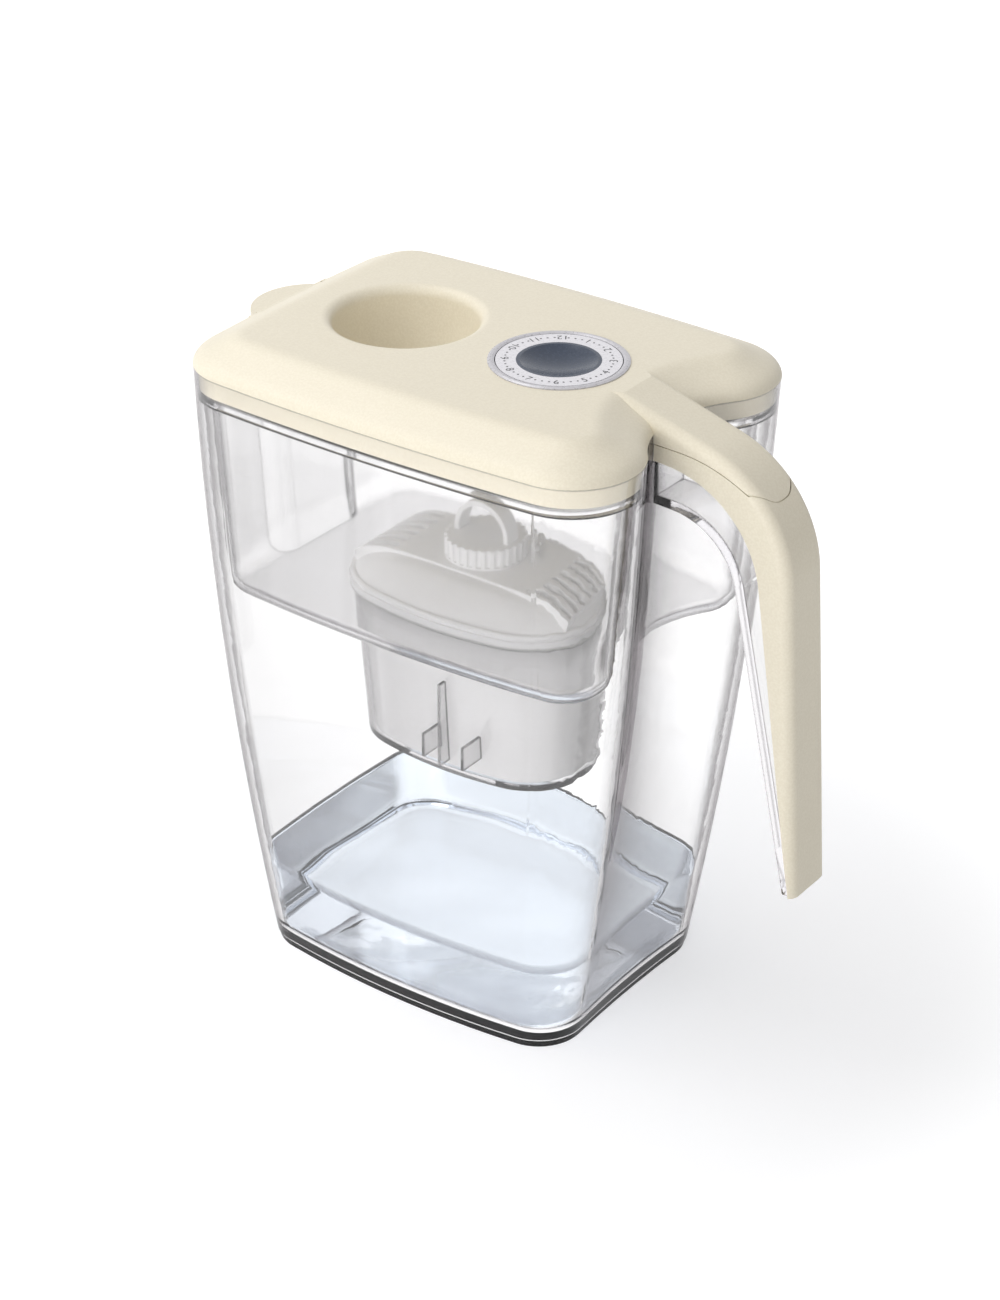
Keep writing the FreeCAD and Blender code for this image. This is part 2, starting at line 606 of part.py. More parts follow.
cavity = loft(jug, "jug_cavity", "Subtractive", [
    section(jug, "cavity_floor", "jug_floor", BASE, "jug_wall"),
    section(jug, "cavity_belly", "belly_level", BELLY, "jug_wall"),
    section(jug, "cavity_rim", "jug_height", RIM, "jug_wall"),
])
round_edges(jug, "cavity_round", cavity, "jug_floor_round", level_edge("jug_floor"))
pad(jug, "rim_recess", section(jug, "rim_recess_outline", "jug_height", RIM, "rim_wall"),
    "jug_height - ledge_level", kind="Pocket")

bore_root = new_sketch(jug, "spout_bore_root", "XY_Plane", "jug_height - spout_depth")
circle(bore_root, "spout_root_middle", "0", "spout_root_radius - spout_wall")
bore_lip = new_sketch(jug, "spout_bore_lip", "XY_Plane", "jug_height")
circle(bore_lip, "spout_middle", "0", "spout_radius - spout_wall")
loft(jug, "spout_bore", "Subtractive", [bore_root, bore_lip])

rim_notch = new_sketch(jug, "rim_notch", "XZ_Plane")
tongue_region(rim_notch, "tongue_gap", "tongue_end", "bay_wall - jug_wall * 2")
pad(jug, "tongue_notch", rim_notch, "2 * (handle_half_width + tongue_gap)", midplane=True,
    kind="Pocket")

# Cream cover of the handle
grip = new_body("handle_grip")
grip_outline = new_sketch(grip, "grip_outline", "XZ_Plane")
grip_back = hook(grip_outline, *OUTER, "handle_foot", "grip_root")
grip_seam = hook(grip_outline, *SEAM, "handle_foot", "grip_root")
close_hooks(grip_outline, grip_back, grip_seam)
grip_solid = pad(grip, "grip_solid", grip_outline, "2 * handle_half_width", midplane=True)
round_edges(grip, "grip_rounding", grip_solid, "grip_round", on_outer_curve)

grip_hollow = new_sketch(grip, "grip_hollow", "XZ_Plane")
inside_back = hook(grip_hollow, "handle_bend_x", "handle_bend_z",
                   f"handle_bend_radius - ({GRIP_DEPTH})", "grip_lean", "tongue_slope",
                   "handle_foot - grip_wall", "bay_wall - jug_wall")
inside_front = hook(grip_hollow, "finger_bend_x", "finger_bend_z", "finger_bend_radius / 2",
                    "finger_lean", "finger_slope", "handle_foot - grip_wall", "bay_wall - jug_wall")
close_hooks(grip_hollow, inside_back, inside_front)
pad(grip, "grip_channel", grip_hollow, "2 * (handle_half_width - grip_wall)", midplane=True,
    kind="Pocket")

seat = new_body("tongue_seat")
TONGUE_FOOT = "handle_bend_z"
seat_plan = new_sketch(seat, "seat_plan", "XY_Plane", TONGUE_FOOT)
channel_outline(seat_plan, "bay_wall - jug_wall", "tongue_end + tongue_gap",
                "handle_half_width + tongue_gap", "tongue_corner + tongue_gap")
pad(seat, "seat_block", seat_plan, f"{SKY} - {TONGUE_FOOT}")
seat_under = new_sketch(seat, "seat_under", "XZ_Plane")
tongue_region(seat_under, "tongue_gap", "tongue_end + tongue_corner",
              "bay_wall - jug_wall - tongue_corner", f"{TONGUE_FOOT} - tongue_corner")
pad(seat, "seat_curve", seat_under, "4 * handle_half_width", midplane=True, kind="Pocket")
combine(grip, "grip_seat", "Cut", seat)


def box_points(x0, x1, y0, y1):
    return [(x0, y0), (x1, y0), (x1, y1), (x0, y1)]


# Hopper with its pour channel and the well for the cartridge
HOPPER_FOOT = "jug_wall + hopper_gap"
HOPPER_TOP = f"{HOPPER_FOOT} - hopper_flare"
FLOOR_TOP = "belly_level + hopper_floor"
HOPPER_RIM = "ledge_level + flange_height"
HOPPER_TAPER = f"atan(hopper_flare / ({HOPPER_RIM} - belly_level))"
WELL_FLOOR = "belly_level - well_depth + well_wall"
hopper = new_body("hopper")
hopper_outer = pad(hopper, "hopper_outer", section(hopper, "hopper_base", "belly_level", HOPPER, HOPPER_FOOT),
                   f"{HOPPER_RIM} - belly_level")
hopper_outer.setExpression("TaperAngle", bound(HOPPER_TAPER))
round_edges(hopper, "hopper_rounding", hopper_outer, "hopper_round", level_edge("belly_level"))
pad(hopper, "hopper_flange",
    section(hopper, "flange_outline", "ledge_level", RIM, "rim_wall + flange_gap"), "flange_height")
hollow = new_body("hopper_hollow")
hollow_pad = pad(hollow, "hollow_pad",
                 section(hollow, "hollow_floor", FLOOR_TOP, HOPPER, f"{HOPPER_FOOT} + hopper_wall"),
                 f"{HOPPER_RIM} - ({FLOOR_TOP})")
hollow_pad.setExpression("TaperAngle", bound(HOPPER_TAPER))
round_edges(hollow, "hollow_rounding", hollow_pad, "hopper_round - hopper_wall", level_edge(FLOOR_TOP))
channel_front_low = f"belly_shift - belly_half_length + {HOPPER_FOOT}"
channel_front_high = f"belly_shift - belly_half_length + {HOPPER_TOP}"
channel_block = []
channel_cut = []
for name, level, front in (("low", "belly_level - flange_height", channel_front_low),
                           ("high", f"{HOPPER_RIM} + flange_height", channel_front_high)):
    block = new_sketch(hollow, f"channel_block_{name}", "XY_Plane", level)
    channel_outline(block, f"{front} - channel_half_width", f"{front} + channel_depth + hopper_wall",
                    "channel_half_width + hopper_wall", "channel_round + hopper_wall")
    channel_block.append(block)
    recess = new_sketch(hopper, f"channel_recess_{name}", "XY_Plane", level)
    channel_outline(recess, f"{front} - channel_half_width", f"{front} + channel_depth",
                    "channel_half_width", "channel_round")
    channel_cut.append(recess)
loft(hollow, "channel_block", "Subtractive", channel_block)
combine(hopper, "hopper_cavity", "Cut", hollow)
loft(hopper, "channel", "Subtractive", channel_cut)

loft(hopper, "well_outer", "Additive", [
    section(hopper, "well_top", FLOOR_TOP, WELL),
    section(hopper, "well_bottom", "belly_level - well_depth", WELL, "well_taper"),
])
loft(hopper, "well_bore", "Subtractive", [
    section(hopper, "well_mouth", FLOOR_TOP, WELL, "well_wall"),
    section(hopper, "well_floor", WELL_FLOOR, WELL, "well_wall + well_taper"),
])
drains = new_sketch(hopper, "drain_outline", "XY_Plane", WELL_FLOOR)
for row in (-1, 0, 1):
    polygon(drains, box_points("well_middle - drain_length / 2", "well_middle + drain_length / 2",
                               f"{row} * drain_pitch - drain_width / 2",
                               f"{row} * drain_pitch + drain_width / 2"))
pad(hopper, "drains", drains, "2 * well_wall", kind="Pocket")

# Filter cartridge
FLANGE_FOOT = f"{FLOOR_TOP} + seal_height"
FLANGE_TOP = f"{FLANGE_FOOT} + cup_flange_height"
CUP_FLOOR = f"{WELL_FLOOR} + cartridge_gap"
CUP = "well_wall + cartridge_gap"
FLANGE = "well_wall - cup_flange"

seal = new_body("cartridge_seal")
seal_outline = section(seal, "seal_outline", FLOOR_TOP, WELL, FLANGE)
outline(seal_outline, *[f"{size} - ({FLANGE} + seal_width)" for size in WELL[:5]], *WELL[5:])
pad(seal, "seal_ring", seal_outline, "seal_height")

cup = new_body("cartridge_cup")
loft(cup, "cup_outer", "Additive", [
    section(cup, "cup_bottom", CUP_FLOOR, WELL, f"{CUP} + well_taper"),
    section(cup, "cup_top", FLANGE_FOOT, WELL, CUP),
])
pad(cup, "cup_rim", section(cup, "cup_rim_outline", FLANGE_FOOT, WELL, FLANGE), "cup_flange_height")
loft(cup, "cup_cavity", "Subtractive", [
    section(cup, "cup_inner_bottom", f"{CUP_FLOOR} + cup_wall", WELL, f"{CUP} + well_taper + cup_wall"),
    section(cup, "cup_inner_top", FLANGE_TOP, WELL, f"{CUP} + cup_wall"),
])
cup_drains = new_sketch(cup, "cup_drain_outline", "XY_Plane", f"{CUP_FLOOR} + cup_wall")
for row in (-1, 0, 1):
    polygon(cup_drains, box_points("well_middle - drain_length / 2", "well_middle + drain_length / 2",
                                   f"{row} * drain_pitch - drain_width / 4",
                                   f"{row} * drain_pitch + drain_width / 4"))
pad(cup, "cup_drains", cup_drains, "2 * cup_wall", kind="Pocket")

bottom_screen = new_body("bottom_screen")
SCREEN_LOW = f"{CUP_FLOOR} + cup_wall"
pad(bottom_screen, "bottom_screen_plate",
    section(bottom_screen, "bottom_screen_outline", SCREEN_LOW, WELL,
            f"{CUP} + well_taper + cup_wall + screen_gap"), "screen_height")

media = new_body("filter_media")
MEDIA_TOP = f"{FLANGE_FOOT} - screen_height"
loft(media, "media_bed", "Additive", [
    section(media, "media_bottom", f"{SCREEN_LOW} + screen_height", WELL,
            f"{CUP} + well_taper + cup_wall + media_gap"),
    section(media, "media_top", MEDIA_TOP, WELL, f"{CUP} + cup_wall + media_gap"),
])

top_screen = new_body("top_screen")
pad(top_screen, "top_screen_plate",
    section(top_screen, "top_screen_outline", MEDIA_TOP, WELL, f"{CUP} + cup_wall + media_gap"),
    "screen_height")

cap = new_body("cartridge_cap")
CAP_TOP_LEVEL = f"{FLANGE_TOP} + cap_height"
CAP_FOOT = f"{FLANGE} + cap_wall / 2"
CAP_SHOULDER = f"{FLANGE} + cap_height * 0.6"
loft(cap, "cap_outer", "Additive", [
    section(cap, "cap_foot", FLANGE_TOP, WELL, CAP_FOOT),
    section(cap, "cap_shoulder", f"{FLANGE_TOP} + cap_height * 0.55", WELL, CAP_SHOULDER),
    section(cap, "cap_top", CAP_TOP_LEVEL, CAP_TOP),
])
loft(cap, "cap_inner", "Subtractive", [
    section(cap, "cap_inner_foot", FLANGE_TOP, WELL, f"{CAP_FOOT} + cap_wall * 1.4"),
    section(cap, "cap_inner_shoulder", f"{FLANGE_TOP} + cap_height * 0.55 - cap_wall", WELL,
            f"{CAP_SHOULDER} + cap_wall / 2"),
    section(cap, "cap_inner_top", f"{CAP_TOP_LEVEL} - cap_wall", CAP_TOP),
])
slots = new_sketch(cap, "slot_outline", "XY_Plane", CAP_TOP_LEVEL)
SLOTS_PER_END = 6
for end in (-1, 1):
    for slot in range(SLOTS_PER_END):
        row = slot - (SLOTS_PER_END - 1) / 2
        polygon(slots, box_points(f"well_middle + {end} * slot_middle - slot_length / 2",
                                  f"well_middle + {end} * slot_middle + slot_length / 2",
                                  f"{row} * slot_pitch - slot_width / 2",
                                  f"{row} * slot_pitch + slot_width / 2"))
pad(cap, "slots", slots, "cap_height", kind="Pocket")
spigot_hole = new_sketch(cap, "spigot_hole", "XY_Plane", CAP_TOP_LEVEL)
circle(spigot_hole, "well_middle", "0", "knob_spigot_radius")
pad(cap, "spigot_bore", spigot_hole, "2 * cap_wall", kind="Pocket")

knob = new_body("cartridge_knob")
knob_outline = new_sketch(knob, "knob_outline", "XY_Plane", CAP_TOP_LEVEL)
circle(knob_outline, "well_middle", "0", "knob_radius")
pad(knob, "knob_drum", knob_outline, "knob_height")
spigot = new_sketch(knob, "spigot_outline", "XY_Plane", f"{CAP_TOP_LEVEL} - cap_wall")
circle(spigot, "well_middle", "0", "knob_spigot_radius")
pad(knob, "spigot", spigot, "2 * cap_wall")
KNURLS = 28
knurl = new_sketch(knob, "knurl_outline", "XY_Plane", f"{CAP_TOP_LEVEL} + knob_height")
for groove in range(KNURLS):
    turn = 360 * groove / KNURLS
    circle(knurl, f"well_middle + knob_radius * cos({turn} deg)", f"knob_radius * sin({turn} deg)",
           "knurl_radius")
pad(knob, "knurl", knurl, "knob_height - cap_wall", kind="Pocket")
hoop_slots = new_sketch(knob, "hoop_slots", "XY_Plane", f"{CAP_TOP_LEVEL} + knob_height")
for side in (-1, 1):
    near, far = f"{side} * hoop_radius", f"{side} * (hoop_radius + hoop_wall)"
    ends = (far, near) if side < 0 else (near, far)
    polygon(hoop_slots, box_points(f"well_middle + {ends[0]}", f"well_middle + {ends[1]}",
                                   "-hoop_width / 2", "hoop_width / 2"))
pad(knob, "hoop_slot", hoop_slots, "hoop_seat", kind="Pocket")

hoop = new_body("pull_hoop")
HOOP_FOOT = f"{CAP_TOP_LEVEL} + knob_height - hoop_seat"
HOOP_BEND = f"{HOOP_FOOT} + hoop_leg"
arch = new_sketch(hoop, "arch", "XZ_Plane")
x, low, bend = value("well_middle"), value(HOOP_FOOT), value(HOOP_BEND)
arcs = []
for radius in ("hoop_radius", "hoop_radius + hoop_wall"):
    r = value(radius)
    right = add_line(arch, (x + r, low), (x + r, bend))
    arc = add_arc(arch, (x, bend), r, 0, math.pi)
    left = add_line(arch, (x - r, bend), (x - r, low))
    relate(arch, "Tangent", right, 2, arc, 1)
    relate(arch, "Tangent", arc, 2, left, 1)
    relate(arch, "Vertical", right)
    relate(arch, "Vertical", left)
    drive(arch, "DistanceX", (arc, 3), "well_middle")
    drive(arch, "DistanceY", (arc, 3), HOOP_BEND)
    drive(arch, "Radius", (arc,), radius)
    drive(arch, "DistanceY", (right, 1), HOOP_FOOT)
    drive(arch, "DistanceY", (left, 2), HOOP_FOOT)
    arcs.append((right, left))
for side, end in ((0, 1), (1, 2)):
    a, b = arch.getPoint(arcs[0][side], end), arch.getPoint(arcs[1][side], end)
    foot = add_line(arch, (a.x, a.y), (b.x, b.y))
    relate(arch, "Coincident", foot, 1, arcs[0][side], end)
    relate(arch, "Coincident", foot, 2, arcs[1][side], end)
pad(hoop, "hoop_strap", arch, "hoop_width", midplane=True)

# Lid
LID_TOP = "jug_height + lid_rise"
lid = new_body("lid_shell")
dome = []
for name, rise, inset in (("edge_low", "0", "0"), ("edge", "lid_edge_rise", "lid_edge_inset"),
                          ("shoulder", "lid_shoulder_rise", "lid_shoulder_inset"),
                          ("slope", "lid_slope_rise", "lid_slope_inset"),
                          ("top", "lid_rise", "lid_top_inset")):
    dome.append(section(lid, f"dome_{name}", f"jug_height + {rise}", RIM, inset))
loft(lid, "dome_outer", "Additive", dome)
SKIRT = "rim_wall + skirt_gap"
SKIRT_FOOT = "jug_height - skirt_depth"
pad(lid, "skirt", section(lid, "skirt_outline", SKIRT_FOOT, RIM, SKIRT), "skirt_depth + lid_edge_rise")
under = []
for name, rise, inset in (("foot", "-skirt_depth", f"{SKIRT} + skirt_wall"),
                          ("edge", "0", f"{SKIRT} + skirt_wall")):
    under.append(section(lid, f"under_{name}", f"jug_height + {rise}", RIM, inset))
loft(lid, "skirt_hollow", "Subtractive", under)
under = []
for name, rise, inset in (("edge", "0", f"{SKIRT} + skirt_wall"),
                          ("shoulder", "lid_shoulder_rise - lid_wall * 0.8",
                           "lid_shoulder_inset + lid_wall * 0.6"),
                          ("slope", "lid_slope_rise - lid_wall * 0.9",
                           "lid_slope_inset + lid_wall * 0.4"),
                          ("top", "lid_rise - lid_wall", "lid_top_inset")):
    under.append(section(lid, f"under_{name}", f"jug_height + {rise}", RIM, inset))
loft(lid, "dome_inner", "Subtractive", under)

DIAL_SEAT = f"{LID_TOP} - dial_seat_depth"
dial_boss = new_sketch(lid, "dial_boss_outline", "XY_Plane", f"{DIAL_SEAT} - dial_floor")
circle(dial_boss, "dial_middle", "0", "dial_radius + dial_gap + lid_wall")
pad(lid, "dial_boss", dial_boss, "dial_floor + dial_seat_depth - lid_wall / 2")
dial_seat = new_sketch(lid, "dial_seat_outline", "XY_Plane", LID_TOP)
circle(dial_seat, "dial_middle", "0", "dial_radius")
pad(lid, "dial_seat", dial_seat, "dial_seat_depth", kind="Pocket")
axle_hole = new_sketch(lid, "axle_hole_outline", "XY_Plane", DIAL_SEAT)
circle(axle_hole, "dial_middle", "0", "axle_radius + pin_running")
pad(lid, "axle_hole", axle_hole, "2 * dial_floor", kind="Pocket")

# Fill funnel: rounded lip, bowl and throat turned about the funnel's middle
BOWL = ("(pow(funnel_radius - throat_radius; 2) + pow(funnel_depth - funnel_lip; 2))"
        " / (2 * (funnel_radius - throat_radius))")
THROAT_FOOT = f"{LID_TOP} - funnel_depth - throat_height"
funnel_hole = new_sketch(lid, "funnel_hole_outline", "XY_Plane", LID_TOP)
circle(funnel_hole, "funnel_middle", "0", "funnel_radius + funnel_lip")
pad(lid, "funnel_hole", funnel_hole, "2 * lid_wall", kind="Pocket")
funnel = new_sketch(lid, "funnel_profile", "XZ_Plane")
axis_line(funnel, "funnel_middle")
x, z = value("funnel_middle"), value(LID_TOP)
rim, lip, bowl = value("funnel_radius"), value("funnel_lip"), value(BOWL)
throat, wall = value("throat_radius"), value("funnel_wall")
deep, foot = value("funnel_depth"), value(THROAT_FOOT)
centre = rim - bowl
reach = math.acos((throat - centre) / bowl)
outer_reach = math.acos((throat + wall - centre) / (bowl + wall))
outer_z = z - lip - (bowl + wall) * math.sin(outer_reach)
lip_arc = add_arc(funnel, (x + rim + lip, z - lip), lip, math.pi / 2, math.pi)
bowl_arc = add_arc(funnel, (x + centre, z - lip), bowl, 2 * math.pi - reach, 2 * math.pi)
throat_in = add_line(funnel, (x + throat, z - deep), (x + throat, foot))
throat_end = add_line(funnel, (x + throat, foot), (x + throat + wall, foot))
throat_out = add_line(funnel, (x + throat + wall, foot), (x + throat + wall, outer_z))
outer_arc = add_arc(funnel, (x + centre, z - lip), bowl + wall, 2 * math.pi - outer_reach, 2 * math.pi)
shelf = add_line(funnel, (x + rim + wall, z - lip), (x + rim + lip, z - lip))
edge = add_line(funnel, (x + rim + lip, z - lip), (x + rim + lip, z))
for a, b in (((lip_arc, 2), (bowl_arc, 2)), ((bowl_arc, 1), (throat_in, 1)),
             ((throat_in, 2), (throat_end, 1)), ((throat_end, 2), (throat_out, 1)),
             ((throat_out, 2), (outer_arc, 1)), ((outer_arc, 2), (shelf, 1)),
             ((shelf, 2), (edge, 1)), ((edge, 2), (lip_arc, 1))):
    relate(funnel, "Coincident", *a, *b)
for line in (throat_in, throat_out, edge):
    relate(funnel, "Vertical", line)
for line in (throat_end, shelf):
    relate(funnel, "Horizontal", line)
drive(funnel, "DistanceX", (lip_arc, 3), "funnel_middle + funnel_radius + funnel_lip")
drive(funnel, "DistanceY", (lip_arc, 3), f"{LID_TOP} - funnel_lip")
drive(funnel, "DistanceX", (edge, 1), "funnel_middle + funnel_radius + funnel_lip")
drive(funnel, "DistanceX", (bowl_arc, 3), f"funnel_middle + funnel_radius - {BOWL}")
drive(funnel, "DistanceY", (bowl_arc, 3), f"{LID_TOP} - funnel_lip")
drive(funnel, "DistanceX", (bowl_arc, 2), "funnel_middle + funnel_radius")
drive(funnel, "DistanceY", (bowl_arc, 2), f"{LID_TOP} - funnel_lip")
drive(funnel, "DistanceX", (throat_in, 1), "funnel_middle + throat_radius")
drive(funnel, "DistanceY", (throat_end, 1), THROAT_FOOT)
drive(funnel, "DistanceX", (throat_out, 1), "funnel_middle + throat_radius + funnel_wall")
relate(funnel, "Coincident", outer_arc, 3, bowl_arc, 3)
drive(funnel, "Radius", (outer_arc,), f"{BOWL} + funnel_wall")
drive(funnel, "DistanceY", (shelf, 1), f"{LID_TOP} - funnel_lip")
spin(lid, "funnel", funnel)

# Ears for the pin of the fill flap
FILL_X = "funnel_middle - fill_hinge_reach"
FILL_Z = f"{THROAT_FOOT} - fill_hinge_drop"
for name, offset in (("near", "fill_knuckle_length / 2 + ear_gap"),
                     ("far", "-(fill_knuckle_length / 2 + ear_gap + ear_width)")):
    ear = new_sketch(lid, f"fill_ear_{name}", "XZ_Plane", offset)
    polygon(ear, [(f"{FILL_X} - ear_width", f"{FILL_Z} - ear_width"),
                  (f"{FILL_X} + ear_width", f"{FILL_Z} - ear_width"),
                  (f"{FILL_X} + ear_width", THROAT_FOOT),
                  ("funnel_middle - throat_radius + funnel_wall / 2", THROAT_FOOT),
                  ("funnel_middle - throat_radius + funnel_wall / 2", f"{THROAT_FOOT} + ear_width"),
                  (FILL_X, f"{THROAT_FOOT} + ear_width * 3.6"),
                  (f"{FILL_X} - ear_width", f"{THROAT_FOOT} + ear_width * 2.6")])
    pad(lid, f"fill_ear_{name}_plate", ear, "ear_width")
fill_bore = new_sketch(lid, "fill_bore_outline", "XZ_Plane")
circle(fill_bore, FILL_X, FILL_Z, "pin_radius")
pad(lid, "fill_bore", fill_bore, "fill_knuckle_length + 4 * ear_width", midplane=True, kind="Pocket")

# Opening and ears for the spout flap
FLAP_Z = "jug_height + flap_hinge_rise"
gate = new_sketch(lid, "gate_outline", "XY_Plane", "jug_height - skirt_depth * 1.2")
polygon(gate, box_points("spout_middle - 2 * spout_radius", "flap_hinge_x + flap_barrel_radius + flap_gap",
                         "-(flap_half_width + flap_gap)", "flap_half_width + flap_gap"))
pad(lid, "gate", gate, "skirt_depth * 1.2 + 2 * lid_rise", kind="Pocket", reverse=True)
for name, offset in (("near", "flap_half_width + flap_gap"),
                     ("far", "-(flap_half_width + flap_gap + ear_width)")):
    ear = new_sketch(lid, f"flap_ear_{name}", "XZ_Plane", offset)
    circle(ear, "flap_hinge_x", FLAP_Z, "flap_barrel_radius")
    pad(lid, f"flap_ear_{name}_post", ear, "ear_width")
flap_bore = new_sketch(lid, "flap_bore_outline", "XZ_Plane")
circle(flap_bore, "flap_hinge_x", FLAP_Z, "pin_radius")
pad(lid, "flap_bore", flap_bore, "2 * (flap_half_width + flap_gap + ear_width)", midplane=True,
    kind="Pocket")

# Thumb tongue: it leaves the flat top of the lid and follows the back of the handle
tongue = new_body("thumb_tongue")
tongue_outline = new_sketch(tongue, "tongue_outline", "XZ_Plane")
tongue_top = hook(tongue_outline, *OUTER, TONGUE_FOOT, "tongue_start")
tongue_deep = hook(tongue_outline, "handle_bend_x", "handle_bend_z", "handle_bend_radius / 2",
                   "handle_lean", "handle_slope", TONGUE_FOOT, "tongue_start")
close_hooks(tongue_outline, tongue_top, tongue_deep)
tongue_block = pad(tongue, "tongue_block", tongue_outline, "2 * handle_half_width", midplane=True)
round_edges(tongue, "tongue_rounding", tongue_block, "grip_round", on_outer_curve)
tongue_under = new_sketch(tongue, "tongue_under", "XZ_Plane")
tongue_region(tongue_under, "0", "tongue_end + tongue_corner", "tongue_start - tongue_corner",
              f"{TONGUE_FOOT} - tongue_corner")
pad(tongue, "tongue_curve", tongue_under, "4 * handle_half_width", midplane=True, kind="Pocket")
tongue_plan = new_body("tongue_plan")
plan_outline = new_sketch(tongue_plan, "plan_outline", "XY_Plane", TONGUE_FOOT)
channel_outline(plan_outline, "tongue_start - tongue_corner", "tongue_end", "handle_half_width",
                "tongue_corner")
pad(tongue_plan, "plan_block", plan_outline, f"{LID_TOP} - {TONGUE_FOOT}")
combine(tongue, "tongue_end_shape", "Common", tongue_plan)
combine(lid, "tongue_join", "Fuse", tongue)

# Spout flap and its pin
flap = new_body("spout_flap")
flap_plate = new_sketch(flap, "flap_outline", "XY_Plane", "jug_height + flap_seat")
x, half, r = value("flap_hinge_x"), value("flap_half_width"), value("spout_radius")
middle = value("spout_middle")
swing = math.asin(half / r)
lip_x = middle - r * math.cos(swing)
lip = add_arc(flap_plate, (middle, 0), r, math.pi - swing, math.pi + swing)
near_side = add_line(flap_plate, (lip_x, -half), (x, -half))
back = add_line(flap_plate, (x, -half), (x, half))
far_side = add_line(flap_plate, (x, half), (lip_x, half))
loop = ((lip, 2, near_side, 1), (near_side, 2, back, 1), (back, 2, far_side, 1), (far_side, 2, lip, 1))
for joint in loop:
    relate(flap_plate, "Coincident", *joint)
relate(flap_plate, "Horizontal", near_side)
relate(flap_plate, "Horizontal", far_side)
relate(flap_plate, "Vertical", back)
drive(flap_plate, "DistanceX", (lip, 3), "spout_middle")
relate(flap_plate, "PointOnObject", lip, 3, -1)
drive(flap_plate, "Radius", (lip,), "spout_radius")
drive(flap_plate, "DistanceX", (back, 1), "flap_hinge_x")
drive(flap_plate, "DistanceY", (back, 1), "-flap_half_width")
drive(flap_plate, "DistanceY", (back, 2), "flap_half_width")
pad(flap, "flap_plate", flap_plate, "flap_height")
barrel = new_sketch(flap, "flap_barrel_outline", "XZ_Plane")
circle(barrel, "flap_hinge_x", FLAP_Z, "flap_barrel_radius")
pad(flap, "flap_barrel", barrel, "2 * flap_half_width", midplane=True)
barrel_bore = new_sketch(flap, "flap_barrel_bore", "XZ_Plane")
circle(barrel_bore, "flap_hinge_x", FLAP_Z, "pin_radius + pin_running")
pad(flap, "flap_running_bore", barrel_bore, "3 * flap_half_width", midplane=True, kind="Pocket")

flap_pin = new_body("spout_flap_pin")
flap_pin_outline = new_sketch(flap_pin, "flap_pin_outline", "XZ_Plane")
circle(flap_pin_outline, "flap_hinge_x", FLAP_Z, "pin_radius")
pad(flap_pin, "flap_pin_rod", flap_pin_outline, "2 * (flap_half_width + flap_gap + ear_width)", midplane=True)

# Fill flap with its counterweight, and its pin
fill = new_body("fill_flap")
FILL_FOOT = f"{THROAT_FOOT} - fill_flap_gap - fill_flap_height"
disc = new_sketch(fill, "disc_outline", "XY_Plane", FILL_FOOT)
circle(disc, "funnel_middle", "0", "fill_flap_radius")
pad(fill, "disc", disc, "fill_flap_height")
arm = new_sketch(fill, "arm_outline", "XY_Plane", FILL_FOOT)
polygon(arm, box_points(f"{FILL_X} - fill_weight_reach", "funnel_middle - throat_radius / 2",
                        "-fill_knuckle_length / 2", "fill_knuckle_length / 2"))
pad(fill, "arm", arm, "fill_flap_height")
weight = new_sketch(fill, "weight_outline", "XY_Plane",
                    f"{FILL_FOOT} + fill_flap_height - fill_weight_height")
polygon(weight, box_points(f"{FILL_X} - fill_weight_reach", FILL_X,
                           "-fill_knuckle_length / 2", "fill_knuckle_length / 2"))
pad(fill, "weight", weight, "fill_weight_height")
knuckle = new_sketch(fill, "knuckle_outline", "XZ_Plane")
circle(knuckle, FILL_X, FILL_Z, "fill_knuckle_radius")
pad(fill, "knuckle", knuckle, "fill_knuckle_length", midplane=True)
knuckle_bore = new_sketch(fill, "knuckle_bore_outline", "XZ_Plane")
circle(knuckle_bore, FILL_X, FILL_Z, "pin_radius + pin_running")
pad(fill, "knuckle_bore", knuckle_bore, "2 * fill_knuckle_length", midplane=True, kind="Pocket")

fill_pin = new_body("fill_flap_pin")
fill_pin_outline = new_sketch(fill_pin, "fill_pin_outline", "XZ_Plane")
circle(fill_pin_outline, FILL_X, FILL_Z, "pin_radius")
pad(fill_pin, "fill_pin_rod", fill_pin_outline, "fill_knuckle_length + 2 * (ear_gap + ear_width)",
    midplane=True)


def turned(name, profile):
    """Body turned about the dial's axis from a closed profile of radius and height expressions."""
    body = new_body(name)
    sketch = new_sketch(body, f"{name}_profile", "XZ_Plane")
    axis_line(sketch, "dial_middle")
    polygon(sketch, [(f"dial_middle + {radius}", height) for radius, height in profile])
    spin(body, f"{name}_turned", sketch)
    return body


# Dial: fixed bezel, numbered ring and dished hub that turn together, and the clip that holds them
BEZEL_INNER = "dial_radius - bezel_width"
HUB_FOOT = f"{DIAL_SEAT} + dial_gap"
RING_FOOT = f"{HUB_FOOT} + dial_gap * 3"
RING_TOP = f"{RING_FOOT} + number_ring_height"
turned("dial_bezel", [
    (BEZEL_INNER, DIAL_SEAT), ("dial_radius", DIAL_SEAT),
    ("dial_radius", f"{LID_TOP} + bezel_rise / 2"),
    ("dial_radius - bezel_width / 3", f"{LID_TOP} + bezel_rise"),
    ("dial_radius - bezel_width * 2 / 3", f"{LID_TOP} + bezel_rise"),
    (BEZEL_INNER, f"{LID_TOP} + bezel_rise / 2")])
turned("dial_ring", [
    ("number_ring_inner", RING_FOOT), (f"{BEZEL_INNER} - dial_gap", RING_FOOT),
    (f"{BEZEL_INNER} - dial_gap", RING_TOP), ("number_ring_inner", RING_TOP)])
AXLE_FOOT = f"{DIAL_SEAT} - dial_floor - axle_length"
